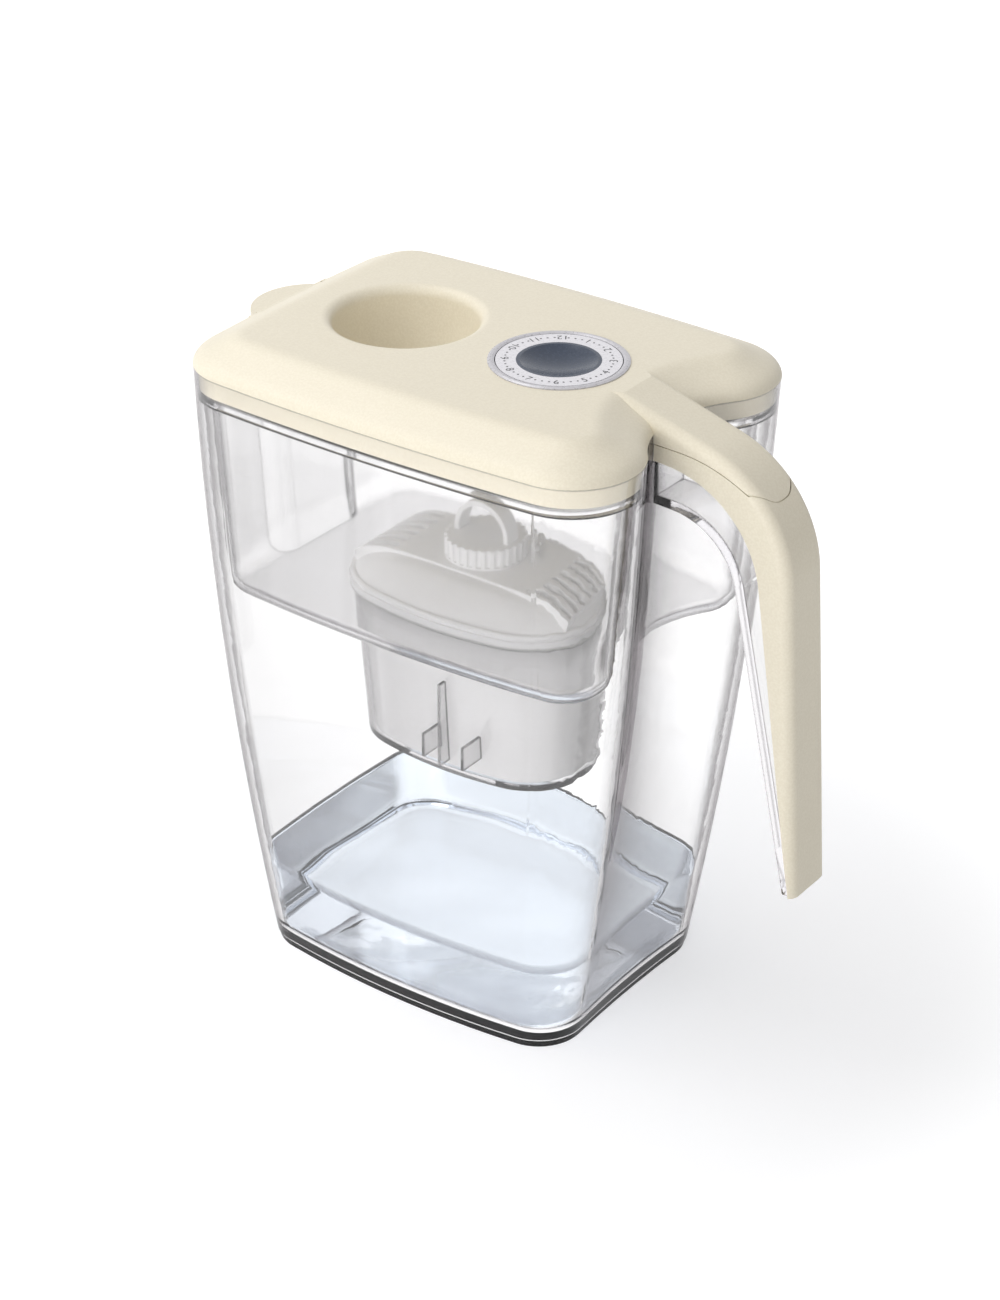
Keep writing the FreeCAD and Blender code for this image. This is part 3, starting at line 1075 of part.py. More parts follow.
hub = turned("dial_hub", [
    ("0", AXLE_FOOT), ("axle_radius", AXLE_FOOT), ("axle_radius", HUB_FOOT),
    (f"{BEZEL_INNER} - bezel_width", HUB_FOOT), (f"{BEZEL_INNER} - bezel_width", RING_FOOT),
    ("number_ring_inner", RING_FOOT), ("number_ring_inner", RING_TOP), ("0", RING_TOP)])
dish = hub.newObject("PartDesign::SubtractiveSphere", "hub_dish")
dish.setExpression("Radius", bound("hub_dish_radius"))
dish.AttachmentSupport = [(axis_plane(hub, "XY_Plane"), "")]
dish.MapMode = "FlatFace"
dish.setExpression("AttachmentOffset.Base.x", bound("dial_middle"))
dish.setExpression("AttachmentOffset.Base.z", bound(f"{RING_TOP} + hub_dish_radius - hub_dish_depth"))
CLIP_TOP = f"{DIAL_SEAT} - dial_floor - dial_gap"
turned("dial_clip", [
    ("axle_radius", f"{CLIP_TOP} - clip_height"), ("clip_radius", f"{CLIP_TOP} - clip_height"),
    ("clip_radius", CLIP_TOP), ("axle_radius", CLIP_TOP)])

# Nodes: one file for each piece
NODES = ["jug_body", "handle_grip", "hopper", "cartridge_seal", "cartridge_cup", "bottom_screen",
         "filter_media", "top_screen", "cartridge_cap", "cartridge_knob", "pull_hoop", "lid_shell",
         "spout_flap", "spout_flap_pin", "fill_flap", "fill_flap_pin", "dial_bezel", "dial_ring",
         "dial_hub", "dial_clip"]
doc.recompute()
for item in doc.Objects:
    if "Invalid" in item.State or "Error" in item.State:
        raise RuntimeError(f"{item.Name} did not compute")
os.makedirs("parts", exist_ok=True)
for name in NODES:
    shape = doc.getObject(name).Shape
    if shape.isNull() or not shape.isValid() or len(shape.Solids) != 1:
        raise RuntimeError(f"{name} is not one sound solid")
    shape.exportStep(f"parts/{name}.step")
    print(name, round(shape.Volume / 1000, 1), "cm3")
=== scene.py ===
# %% [markdown]
# # A water filter pitcher
# The pitcher is a clear jug with a hook handle, a clear hopper that hangs in it, a filter cartridge in the
# hopper's well and a cream lid with a fill funnel and a dial. The CAD solids already have these shapes, so
# this lesson gives each of them a finish, and adds what the solids lack: the water that stands in the jug,
# the relief on the cartridge and its well, and the numbers and dots on the dial.

import math

import bpy
import numpy as np
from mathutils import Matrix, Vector


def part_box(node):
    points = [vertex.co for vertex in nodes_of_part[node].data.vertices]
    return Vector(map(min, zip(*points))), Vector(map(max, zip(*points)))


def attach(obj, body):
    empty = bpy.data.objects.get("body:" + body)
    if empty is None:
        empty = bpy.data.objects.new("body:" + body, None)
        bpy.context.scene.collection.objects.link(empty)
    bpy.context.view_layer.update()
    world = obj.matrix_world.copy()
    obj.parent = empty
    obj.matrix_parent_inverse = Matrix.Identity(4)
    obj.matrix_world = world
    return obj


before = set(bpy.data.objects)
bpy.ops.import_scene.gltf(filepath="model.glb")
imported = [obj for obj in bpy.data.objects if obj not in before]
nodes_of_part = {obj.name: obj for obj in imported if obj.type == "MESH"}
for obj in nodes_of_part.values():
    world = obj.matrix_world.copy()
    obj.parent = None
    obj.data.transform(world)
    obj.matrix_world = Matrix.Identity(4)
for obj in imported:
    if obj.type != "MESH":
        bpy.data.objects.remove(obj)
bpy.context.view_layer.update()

# %% [markdown]
# ## Camera
# The pitcher is seen from above and from the handle's side. A camera on a sphere round the middle of the
# jug needs two angles and a distance. The focal length is known in pixels of a picture 1300 pixels high, and
# the small shift moves the picture without turning the camera, as a view camera does.

# %% Camera
MM = 0.001
PICTURE_WIDTH, PICTURE_HEIGHT = 1000, 1300
FOCAL_PIXELS = 3156.2
PRINCIPAL_PIXEL = (485.2, 658.0)
SENSOR_MM = 36.0
AZIMUTH, ELEVATION = math.radians(36.4), math.radians(29.4)
CAMERA_DISTANCE = 1237.5 * MM
LOOK_AT = Vector((0, 0, 130 * MM))

toward_camera = Vector((math.sin(AZIMUTH) * math.cos(ELEVATION),
                        -math.cos(AZIMUTH) * math.cos(ELEVATION),
                        math.sin(ELEVATION)))
toward_right = Vector((math.cos(AZIMUTH), math.sin(AZIMUTH), 0))
lens = bpy.data.cameras.new("picture_camera")
lens.lens = FOCAL_PIXELS * SENSOR_MM / PICTURE_HEIGHT
lens.sensor_width = SENSOR_MM
lens.shift_x = (PICTURE_WIDTH / 2 - PRINCIPAL_PIXEL[0]) / PICTURE_HEIGHT
lens.shift_y = (PRINCIPAL_PIXEL[1] - PICTURE_HEIGHT / 2) / PICTURE_HEIGHT
camera = bpy.data.objects.new("picture_camera", lens)
camera.location = LOOK_AT + toward_camera * CAMERA_DISTANCE
camera.rotation_euler = toward_camera.to_track_quat("Z", "Y").to_euler()
bpy.context.scene.collection.objects.link(camera)
bpy.context.scene.camera = camera
print("lens in mm:", round(lens.lens, 1))

# %% [markdown]
# ## Helpers for node trees
# Every finish below is a node tree, and a few small helpers keep them short. One adds a node, sets its plain
# values and links what feeds it. One starts a material with its Principled shader and a texture position in
# metres, which is the same for all solids, because each of them sits at the origin. The others make and use
# node groups, and wrap the nodes that come up most.

# %% Node helpers
def add_node(tree, kind, settings=(), **feeds):
    """Adds a node. settings are its own properties. Each feed goes to the input of that name, with _ for a
    space, or of that number: a socket is linked, and anything else is set as a plain value."""
    node = tree.nodes.new(kind)
    for name, value in dict(settings).items():
        setattr(node, name, value)
    for name, feed in feeds.items():
        key = int(name[1:]) if name[1:].isdigit() else name.replace("_", " ")
        if isinstance(feed, bpy.types.NodeSocket):
            tree.links.new(feed, node.inputs[key])
        else:
            node.inputs[key].default_value = feed
    return node


def new_finish(name):
    """A material with a Principled shader. Gives the material, its tree, the shader and Object places."""
    material = bpy.data.materials.new(name)
    material.use_nodes = True
    tree = material.node_tree
    shader = tree.nodes["Principled BSDF"]
    place = add_node(tree, "ShaderNodeTexCoord").outputs["Object"]
    return material, tree, shader, place


def new_group(name, inputs, outputs):
    """A shader node group with named sockets. inputs and outputs are (name, socket type, start value)."""
    group = bpy.data.node_groups.new(name, "ShaderNodeTree")
    for direction, sockets in (("INPUT", inputs), ("OUTPUT", outputs)):
        for socket_name, kind, start in sockets:
            socket = group.interface.new_socket(socket_name, in_out=direction, socket_type=kind)
            if start is not None:
                socket.default_value = start
    entry = group.nodes.new("NodeGroupInput")
    leave = group.nodes.new("NodeGroupOutput")
    return group, entry.outputs, leave.inputs


def use_group(tree, group, **feeds):
    """Places a group in a tree, with its inputs set or linked as add_node does."""
    return add_node(tree, "ShaderNodeGroup", {"node_tree": group}, **feeds).outputs


def larger(tree, first, second):
    """The larger of two values."""
    return add_node(tree, "ShaderNodeMath", {"operation": "MAXIMUM"}, _0=first, _1=second).outputs[0]


def smooth_step(tree, source, reach, low=0.0, high=1.0):
    """Goes from low to high in a smooth S, while the source goes from one value of reach to the other."""
    return add_node(tree, "ShaderNodeMapRange", {"interpolation_type": "SMOOTHSTEP"}, Value=source,
                    From_Min=reach[0], From_Max=reach[1], To_Min=low, To_Max=high).outputs[0]


def spread_values(tree, source, low, high):
    """Values of 0 to 1, carried over to low to high."""
    return add_node(tree, "ShaderNodeMapRange", Value=source, To_Min=low, To_Max=high).outputs[0]


def blend_colours(tree, share, first, second):
    """Colour between two colours, by a share from 0 to 1."""
    return add_node(tree, "ShaderNodeMix", {"data_type": "RGBA"}, _0=share, _6=first, _7=second).outputs[2]


def bumps(tree, source, strength, depth):
    """A normal from a height, with bumps of that depth in metres."""
    return add_node(tree, "ShaderNodeBump", Height=source, Strength=strength, Distance=depth).outputs[0]


def seen_rays(tree):
    """1 for rays that show a picture, from the camera, off a gloss or through clear plastic. 0 for light."""
    path = add_node(tree, "ShaderNodeLightPath").outputs
    mirrored = larger(tree, path["Is Camera Ray"], path["Is Glossy Ray"])
    return larger(tree, mirrored, path["Is Transmission Ray"])


def let_lamps_through(tree, shader, shade):
    """Swaps a material's shader for a plain see-through one of that shade, for lamps alone."""
    through = add_node(tree, "ShaderNodeBsdfTransparent", Color=shade)
    lamps = add_node(tree, "ShaderNodeLightPath").outputs["Is Shadow Ray"]
    mixed = add_node(tree, "ShaderNodeMixShader", _0=lamps, _1=shader.outputs[0], _2=through.outputs[0])
    tree.links.new(mixed.outputs[0], tree.nodes["Material Output"].inputs["Surface"])


print("node helpers ready")

# %% [markdown]
# ## Stage and light
# The pitcher stands on a plain white table in a white studio. A large floor keeps the soft shadow, and a
# little glow, which only the camera and rays off or through plastic see, lifts it to white without lighting
# the object. Those rays also see the studio a little over white, as in an overexposed picture, so that it
# stays white through several clear walls. The light that it sheds on the object is weaker, and weaker still
# from the right, where the real studio leaves the handle in shade.

# %% Floor
FLOOR_RADIUS = 5.0
FLOOR_DROP = 0.2 * MM
FLOOR_RINGS, FLOOR_SPOKES = 12, 64
FLOOR_HOLE = 1e-4
FLOOR_COLOUR = (0.84, 0.84, 0.845, 1)
FLOOR_GLOW = 0.35
SHADOW_REACH = (0.17, 0.36)
STUDIO_WHITE = 1.26


def grid_faces(rows, columns):
    """Quads of a grid of points, row after row. The last column joins the first."""
    down, across = np.meshgrid(np.arange(rows - 1), np.arange(columns), indexing="ij")
    beside = (across + 1) % columns
    quads = np.stack([down * columns + across, down * columns + beside,
                      (down + 1) * columns + beside, (down + 1) * columns + across], axis=-1)
    return quads.reshape(-1, 4)


def capped_faces(rings):
    """Quads between rings of points, with one more face that closes each end."""
    rows, columns = rings.shape[:2]
    last = (rows - 1) * columns
    ends = [list(range(columns))[::-1], list(range(last, last + columns))]
    return grid_faces(rows, columns).tolist() + ends


def make_mesh(name, points, faces, smooth=True):
    """Puts arrays of points and faces into a new object that sits at the origin."""
    mesh = bpy.data.meshes.new(name)
    mesh.from_pydata(points.reshape(-1, 3).tolist(), [], [list(face) for face in faces])
    mesh.polygons.foreach_set("use_smooth", np.full(len(mesh.polygons), smooth))
    mesh.update()
    piece = bpy.data.objects.new(name, mesh)
    bpy.context.scene.collection.objects.link(piece)
    return piece


spread = np.linspace(FLOOR_HOLE, 1, FLOOR_RINGS)[:, None] ** 2 * FLOOR_RADIUS
turn = np.linspace(0, 2 * np.pi, FLOOR_SPOKES, endpoint=False)[None, :]
floor_points = np.stack([spread * np.cos(turn), spread * np.sin(turn),
                         np.full_like(spread * turn, -FLOOR_DROP)], axis=-1)
floor = make_mesh("floor", floor_points, grid_faces(FLOOR_RINGS, FLOOR_SPOKES))

floor_finish = bpy.data.materials.new("white_table")
floor_finish.use_nodes = True
floor_tree = floor_finish.node_tree
floor_tree.nodes.clear()
floor_place = add_node(floor_tree, "ShaderNodeTexCoord").outputs["Object"]
from_pitcher = add_node(floor_tree, "ShaderNodeVectorMath", {"operation": "LENGTH"}, _0=floor_place)
far_out = smooth_step(floor_tree, from_pitcher.outputs["Value"], SHADOW_REACH)
matt = add_node(floor_tree, "ShaderNodeBsdfDiffuse", Color=FLOOR_COLOUR)
glow = add_node(floor_tree, "ShaderNodeEmission", Strength=FLOOR_GLOW)
near_floor = add_node(floor_tree, "ShaderNodeAddShader", _0=matt.outputs[0], _1=glow.outputs[0])
floor_path = add_node(floor_tree, "ShaderNodeLightPath").outputs
plain_white = larger(floor_tree, far_out, floor_path["Is Transmission Ray"])
white = add_node(floor_tree, "ShaderNodeEmission", Strength=STUDIO_WHITE)
seen_floor = add_node(floor_tree, "ShaderNodeMixShader", _0=plain_white, _1=near_floor.outputs[0],
                      _2=white.outputs[0])
floor_mix = add_node(floor_tree, "ShaderNodeMixShader", _0=seen_rays(floor_tree), _1=matt.outputs[0],
                     _2=seen_floor.outputs[0])
add_node(floor_tree, "ShaderNodeOutputMaterial", Surface=floor_mix.outputs[0])
floor.data.materials.append(floor_finish)
print("floor radius in metres:", FLOOR_RADIUS)

# %% Studio walls and lamps
SKY_COLOUR = (0.985, 0.985, 1.0, 1)
SKY_LEFT, SKY_RIGHT = 0.72, 0.38
LIGHT_BOUNCES = 24
# A lamp's name, its way in metres to the right, up and nearer the camera, its power in watts and its size.
LAMPS = (("key_box", -0.7, 1.15, -0.25, 7.0, 0.9),
         ("fill_box", 0.9, 0.7, 0.9, 0.2, 1.2),
         ("low_box", -0.6, 0.25, 1.1, 7.2, 1.0))

world = bpy.data.worlds.new("studio")
world.use_nodes = True
bpy.context.scene.world = world
sky_tree = world.node_tree
sky_tree.nodes.clear()
direction = add_node(sky_tree, "ShaderNodeTexCoord").outputs["Generated"]
to_right = add_node(sky_tree, "ShaderNodeVectorMath", {"operation": "DOT_PRODUCT"}, _0=direction,
                    _1=toward_right).outputs["Value"]
sky_light = add_node(sky_tree, "ShaderNodeMapRange", Value=to_right, From_Min=-1.0, From_Max=1.0,
                     To_Min=SKY_LEFT, To_Max=SKY_RIGHT).outputs[0]
strength = add_node(sky_tree, "ShaderNodeMix", {"data_type": "FLOAT"}, Factor=seen_rays(sky_tree),
                    _2=sky_light, _3=STUDIO_WHITE).outputs[0]
backdrop = add_node(sky_tree, "ShaderNodeBackground", Color=SKY_COLOUR, Strength=strength)
add_node(sky_tree, "ShaderNodeOutputWorld", Surface=backdrop.outputs[0])


def soft_box(name, place, power, size):
    """A square lamp of that size in metres, which looks at the middle of the pitcher."""
    lamp = bpy.data.lights.new(name, "AREA")
    lamp.energy = power
    lamp.shape = "SQUARE"
    lamp.size = size
    holder = bpy.data.objects.new(name, lamp)
    holder.location = place
    holder.rotation_euler = (place - LOOK_AT).to_track_quat("Z", "Y").to_euler()
    bpy.context.scene.collection.objects.link(holder)


upward = Vector((0, 0, 1))
level_camera = Vector((toward_camera.x, toward_camera.y, 0)).normalized()
for name, right, up, nearer, power, size in LAMPS:
    soft_box(name, LOOK_AT + toward_right * right + upward * up + level_camera * nearer, power, size)
bpy.context.scene.view_settings.view_transform = "Standard"
bpy.context.scene.cycles.max_bounces = LIGHT_BOUNCES
bpy.context.scene.cycles.transmission_bounces = LIGHT_BOUNCES
bpy.context.scene.cycles.transparent_max_bounces = LIGHT_BOUNCES
print("lamps:", len(LAMPS))

# %% [markdown]
# ## Shared surface effects
# Moulded plastic is never one flat colour. Cream plastic has fine grains of a second tone and a spark-eroded
# mould leaves tiny bumps. Clear plastic has faint waves where it flowed into the mould. Both effects are
# node groups, so that each finish can use them at its own scale and strength.

# %% Grain and flow groups
SPECK_REACH = (0.35, 0.68)
FLOW_STRETCH = (1.0, 1.0, 0.35)


def build_grain():
    """Fine grain: small noise, sharpened to specks, over a broad and weak drift of tone."""
    group, given, leaves = new_group(
        "moulded_grain",
        [("Vector", "NodeSocketVector", None), ("Scale", "NodeSocketFloat", 900.0),
         ("Drift Scale", "NodeSocketFloat", 14.0)],
        [("Specks", "NodeSocketFloat", None), ("Drift", "NodeSocketFloat", None),
         ("Height", "NodeSocketFloat", None)])
    fine = add_node(group, "ShaderNodeTexNoise", Vector=given["Vector"], Scale=given["Scale"], Detail=2.0,
                    Roughness=0.6).outputs[0]
    specks = smooth_step(group, fine, SPECK_REACH)
    broad = add_node(group, "ShaderNodeTexNoise", Vector=given["Vector"], Scale=given["Drift Scale"],
                     Detail=3.0).outputs[0]
    for socket, source in (("Specks", specks), ("Drift", broad), ("Height", fine)):
        group.links.new(source, leaves[socket])
    return group


def build_flow():
    """Flow marks: broad noise, drawn out upwards, as the plastic ran in the mould."""
    group, given, leaves = new_group(
        "mould_flow",
        [("Vector", "NodeSocketVector", None), ("Scale", "NodeSocketFloat", 30.0)],
        [("Flow", "NodeSocketFloat", None)])
    stretched = add_node(group, "ShaderNodeMapping", Vector=given["Vector"], Scale=FLOW_STRETCH)
    waves = add_node(group, "ShaderNodeTexNoise", Vector=stretched.outputs[0], Scale=given["Scale"],
                     Detail=1.5)
    group.links.new(waves.outputs[0], leaves["Flow"])
    return group


grain_group = build_grain()
flow_group = build_flow()
print("groups:", grain_group.name, flow_group.name)

# %% [markdown]
# ## Cream plastic
# The lid, the grip and the flaps are a warm cream plastic with a satin, slightly speckled skin. Two close
# creams are blended by the specks, and the broad drift keeps large faces from looking flat.

# %% Cream plastic
SPECK_SHARE = 0.6
DRIFT_SHARE = (-0.1, 0.5)
ROUGHNESS_SPREAD = 0.05
GRAIN_STRENGTH = 0.3


def grained_plastic(name, light, dark, roughness, scale, depth, **extras):
    """Opaque plastic in two close tones, blended by the specks and the drift, with the grain as bumps of a
    depth in metres. extras are more inputs of the shader, with _ for a space."""
    material, tree, shader, place = new_finish(name)
    grain = use_group(tree, grain_group, Vector=place, Scale=scale)
    tone = add_node(tree, "ShaderNodeMath", {"operation": "MULTIPLY_ADD"}, _0=grain["Specks"],
                    _1=SPECK_SHARE, _2=spread_values(tree, grain["Drift"], *DRIFT_SHARE))
    tree.links.new(blend_colours(tree, tone.outputs[0], dark, light), shader.inputs["Base Color"])
    tree.links.new(spread_values(tree, grain["Specks"], roughness - ROUGHNESS_SPREAD,
                                 roughness + ROUGHNESS_SPREAD), shader.inputs["Roughness"])
    tree.links.new(bumps(tree, grain["Height"], GRAIN_STRENGTH, depth), shader.inputs["Normal"])
    for extra, value in extras.items():
        shader.inputs[extra.replace("_", " ")].default_value = value
    return material


cream = grained_plastic("cream_plastic", (0.86, 0.80, 0.655, 1), (0.79, 0.725, 0.575, 1), 0.45, 1100.0,
                        0.06 * MM, Specular_IOR_Level=0.35)
print("finish:", cream.name)

# %% [markdown]
# ## Clear plastic
# The jug and the hopper are thick, polished clear plastic. A Principled shader with full transmission bends
# light as the real walls do. A wall seen along its length and a sharp corner, where a slightly rounded normal
# departs from the plain one, get painted shade: their colour is painted towards a near-black lilac, which
# stands in for the dark reflections that they would show. For lamps alone the shader is swapped for a plain
# see-through one, because light that is bent twice reaches the cartridge only by chance and would leave the
# inside dark and grainy.

# %% Clear plastic
LAMP_SHADE = (0.985, 0.985, 0.988, 1)
LILAC = (0.60, 0.57, 0.60, 1)
LILAC_DENSITY = 22.0
# Painted shade: the near-black lilac that walls seen edge-on and sharp corners are painted towards, and its
# reach.
PAINTED_EDGE_SHADE = (0.055, 0.045, 0.05, 1)
PAINTED_EDGE_REACH = (0.27, 0.8)
CORNER_WIDTH = 1.5 * MM
CORNER_TURN = (0.8, 0.985)
PAINTED_CORNER_SHARE = 0.92
PLASTIC_IOR = 1.49
FLOW_STRENGTH, FLOW_DEPTH = 0.15, 0.3 * MM
LEAST_ROUGH, MOST_ROUGH = 0.5, 1.5


def clear_plastic(name, colour, roughness, scale):
    """Clear plastic with flow marks of that scale. Walls seen along their length and sharp corners get
    painted shade, from the colour towards a near-black lilac. A long way through the plastic takes a paler
    lilac on."""
    material, tree, shader, place = new_finish(name)
    flow = use_group(tree, flow_group, Vector=place, Scale=scale)["Flow"]
    # Painted shade at walls seen along their length, by how far the surface turns from facing the view.
    facing = add_node(tree, "ShaderNodeLayerWeight", Blend=0.5).outputs["Facing"]
    edge = smooth_step(tree, facing, PAINTED_EDGE_REACH)
    # Painted shade at sharp corners, where the rounded normal departs from the plain one.
    rounded = add_node(tree, "ShaderNodeBevel", {"samples": 4}, Radius=CORNER_WIDTH).outputs[0]
    plain = add_node(tree, "ShaderNodeNewGeometry").outputs["Normal"]
    turned = add_node(tree, "ShaderNodeVectorMath", {"operation": "DOT_PRODUCT"}, _0=rounded, _1=plain)
    straight = add_node(tree, "ShaderNodeMath", {"operation": "ABSOLUTE"}, _0=turned.outputs["Value"])
    corner = smooth_step(tree, straight.outputs[0], CORNER_TURN, PAINTED_CORNER_SHARE, 0.0)
    # The stronger of the two painted shades darkens the base colour.
    painted_shade = larger(tree, edge, corner)
    tree.links.new(blend_colours(tree, painted_shade, colour, PAINTED_EDGE_SHADE), shader.inputs["Base Color"])
    shader.inputs["Transmission Weight"].default_value = 1.0
    shader.inputs["IOR"].default_value = PLASTIC_IOR
    tree.links.new(spread_values(tree, flow, roughness * LEAST_ROUGH, roughness * MOST_ROUGH),
                   shader.inputs["Roughness"])
    tree.links.new(bumps(tree, flow, FLOW_STRENGTH, FLOW_DEPTH), shader.inputs["Normal"])
    let_lamps_through(tree, shader, LAMP_SHADE)
    soak = add_node(tree, "ShaderNodeVolumeAbsorption", Color=LILAC, Density=LILAC_DENSITY)
    tree.links.new(soak.outputs[0], tree.nodes["Material Output"].inputs["Volume"])
    return material


clear_jug = clear_plastic("clear_jug_plastic", (0.995, 0.995, 0.995, 1), 0.02, 24.0)
clear_hopper = clear_plastic("clear_hopper_plastic", (0.99, 0.99, 0.99, 1), 0.05, 30.0)
print("finishes:", clear_jug.name, clear_hopper.name)

# %% [markdown]
# ## Cartridge and dial finishes
# The cartridge is milky plastic: white, with light that soaks in a little. Its mesh, gasket and grains are
# hidden, but they are finished too. The dial has a grey metallic bezel, a pale ring and a polished dark hub.

# %% Cartridge, dial and small pieces
milky = grained_plastic("milky_plastic", (0.97, 0.965, 0.96, 1), (0.93, 0.925, 0.92, 1), 0.5, 500.0,
                        0.03 * MM, Transmission_Weight=0.08, IOR=1.3)
bezel_grey = grained_plastic("bezel_grey", (0.52, 0.51, 0.53, 1), (0.46, 0.45, 0.47, 1), 0.32, 700.0,
                             0.02 * MM, Metallic=0.35)
ring_pale = grained_plastic("ring_pale", (0.80, 0.785, 0.81, 1), (0.76, 0.745, 0.775, 1), 0.3, 600.0,
                            0.01 * MM)
hub_dark = grained_plastic("hub_dark", (0.045, 0.06, 0.092, 1), (0.033, 0.046, 0.074, 1), 0.25, 600.0,
                           0.01 * MM, Specular_IOR_Level=0.3)
pin_steel = grained_plastic("pin_steel", (0.62, 0.62, 0.62, 1), (0.55, 0.55, 0.55, 1), 0.35, 900.0,
                            0.01 * MM, Metallic=1.0)
seal_rubber = grained_plastic("seal_rubber", (0.62, 0.62, 0.60, 1), (0.55, 0.55, 0.53, 1), 0.7, 700.0,
                              0.05 * MM)
mesh_white = grained_plastic("mesh_white", (0.80, 0.80, 0.77, 1), (0.45, 0.45, 0.43, 1), 0.7, 1600.0,
                             0.1 * MM)
grains_pale = grained_plastic("grains_pale", (0.80, 0.76, 0.68, 1), (0.62, 0.58, 0.50, 1), 0.8, 900.0,
                              0.4 * MM)

FINISHES = {
    clear_jug: ["jug_body"],
    clear_hopper: ["hopper"],
    cream: ["lid_shell", "handle_grip", "spout_flap", "fill_flap"],
    milky: ["cartridge_cup", "cartridge_cap", "cartridge_knob", "pull_hoop"],
    bezel_grey: ["dial_bezel", "dial_clip"],
    ring_pale: ["dial_ring"],
    hub_dark: ["dial_hub"],
    pin_steel: ["spout_flap_pin", "fill_flap_pin"],
    seal_rubber: ["cartridge_seal"],
    mesh_white: ["top_screen", "bottom_screen"],
    grains_pale: ["filter_media"],
}
for finish, names in FINISHES.items():
    for name in names:
        for material_slot in nodes_of_part[name].material_slots:
            material_slot.material = finish
print("finished solids:", sum(len(names) for names in FINISHES.values()))

# %% [markdown]
# ## Water
# Some filtered water stands in the jug. Its outline is the inside of the jug, less a hair's breadth: four
# long arcs joined by four round corners. Such an outline is easy to walk by the direction that its wall
# faces, because each arc covers a range of directions, and a point is the arc's centre plus its radius along
# that direction. The body is that outline, carried up from the rounded floor to the surface.

# %% Water
ARC_POINTS = 14
JUG_FLOOR, JUG_SHIFT = 5.0, -2.0
JUG_LEVEL = 12.0
JUG_HALF_LENGTH, LENGTH_GROWTH = 72.5, 0.15
JUG_HALF_WIDTH, WIDTH_GROWTH = 57.2, 0.087
JUG_CORNER, JUG_SIDE_RADIUS, JUG_END_RADIUS = 17.3, 403.0, 697.0
BAY_END, BAY_END_GROWTH = 71.04, 0.084
BAY_CURVE, BAY_CURVE_GROWTH = 0.00114, 0.000047
WATER_LEVEL, WALL_GAP = 40.0, 0.35
FLOOR_ROUND, ROUND_RINGS, WALL_RINGS = 6.0, 7, 9
SURFACE_RINGS, BOTTOM_RINGS, MIDDLE_SHARE = 40, 8, 0.002
RIPPLE_HEIGHT, CALM_RATE = 0.35, 8
# A wave's length, how far it sways, and the length and start of the sway.
WAVE_ALONG, WAVE_ACROSS = (7.0, 1.3, 11.0, 0.0), (9.0, 0.9, 13.0, 1.0)
WATER_COLOUR, WATER_SHADE = (0.84, 0.905, 0.975, 1), (0.9, 0.94, 0.98, 1)
WATER_IOR, WATER_ROUGHNESS = 1.14, (0.0, 0.03)
WATER_FLOW_SCALE, WATER_STRENGTH, WATER_DEPTH = 45.0, 0.25, 0.6 * MM


def tub_outline(half_length, half_width, corner, side_radius, end_radius):
    """Outline of bulged sides and ends with round corners, as points in a ring. The corner's centre is as
    far from the side's centre as the side's radius less its own, and likewise for the end, which gives the
    two directions where the arcs meet. A point is its arc's centre plus the radius along the direction."""
    side_centre = half_width - side_radius
    end_centre = half_length - end_radius
    to_side, to_end = side_radius - corner, end_radius - corner
    apart = math.hypot(end_centre, side_centre)
    along = (to_side ** 2 - to_end ** 2 + apart ** 2) / (2 * apart)
    across = math.sqrt(to_side ** 2 - along ** 2)
    unit = np.array([end_centre, -side_centre]) / apart
    middle = np.array([0, side_centre]) + along * unit
    corner_centre = middle - across * np.array([-unit[1], unit[0]])
    first = math.atan2(corner_centre[1], corner_centre[0] - end_centre)
    second = math.atan2(corner_centre[1] - side_centre, corner_centre[0])
    arcs = [((end_centre, 0), end_radius, np.linspace(0, first, ARC_POINTS, endpoint=False)),
            (corner_centre, corner, np.linspace(first, second, ARC_POINTS, endpoint=False)),
            ((0, side_centre), side_radius, np.linspace(second, np.pi / 2, ARC_POINTS, endpoint=False))]
    quarter = np.concatenate([np.array(centre) + radius * np.stack([np.cos(t), np.sin(t)], axis=-1)
                              for centre, radius, t in arcs])
    top = np.array([[0, half_width]])
    end = np.array([[half_length, 0]])
    back = np.concatenate([top, quarter[:0:-1]]) * (-1, 1)
    half = np.concatenate([quarter, back, -end])
    return np.concatenate([half, half[-2:0:-1] * (1, -1)])


def jug_inside(level, inset):
    """Inside outline of the jug at a level, in mm: half length and half width grow evenly with height. The
    rear end is held back to a shallow parabola, the foot of the bay for the handle, which deepens upwards."""
    climb = level - JUG_LEVEL
    ring = tub_outline(JUG_HALF_LENGTH + LENGTH_GROWTH * climb - inset,
                       JUG_HALF_WIDTH + WIDTH_GROWTH * climb - inset,
                       JUG_CORNER - inset, JUG_SIDE_RADIUS - inset, JUG_END_RADIUS - inset)
    curve = BAY_CURVE + BAY_CURVE_GROWTH * climb
    bay = BAY_END + BAY_END_GROWTH * climb + curve * ring[:, 1] ** 2 - inset
    ring[:, 0] = np.minimum(ring[:, 0], bay)
    return ring


def swaying_wave(ahead, beside, length, sway, sway_length, start):
    """A sine wave along one direction, pushed to and fro by a slower sine wave along the other."""
    return np.sin(ahead / length + sway * np.sin(beside / sway_length + start))


rise = np.concatenate([FLOOR_ROUND * (1 - np.cos(np.linspace(0, np.pi / 2, ROUND_RINGS))),
                       np.linspace(FLOOR_ROUND, WATER_LEVEL - JUG_FLOOR, WALL_RINGS)[1:]])
below_round = np.clip(FLOOR_ROUND - rise, 0, None)
round_inset = FLOOR_ROUND - np.sqrt(np.clip(FLOOR_ROUND ** 2 - below_round ** 2, 0, None))
wall_rings = []
for climbed, inset in zip(rise, round_inset):
    outline = jug_inside(JUG_FLOOR + climbed, inset + WALL_GAP)
    level = JUG_FLOOR + climbed + WALL_GAP * (climbed == 0)
    wall_rings.append(np.column_stack([outline, np.full(len(outline), level)]))

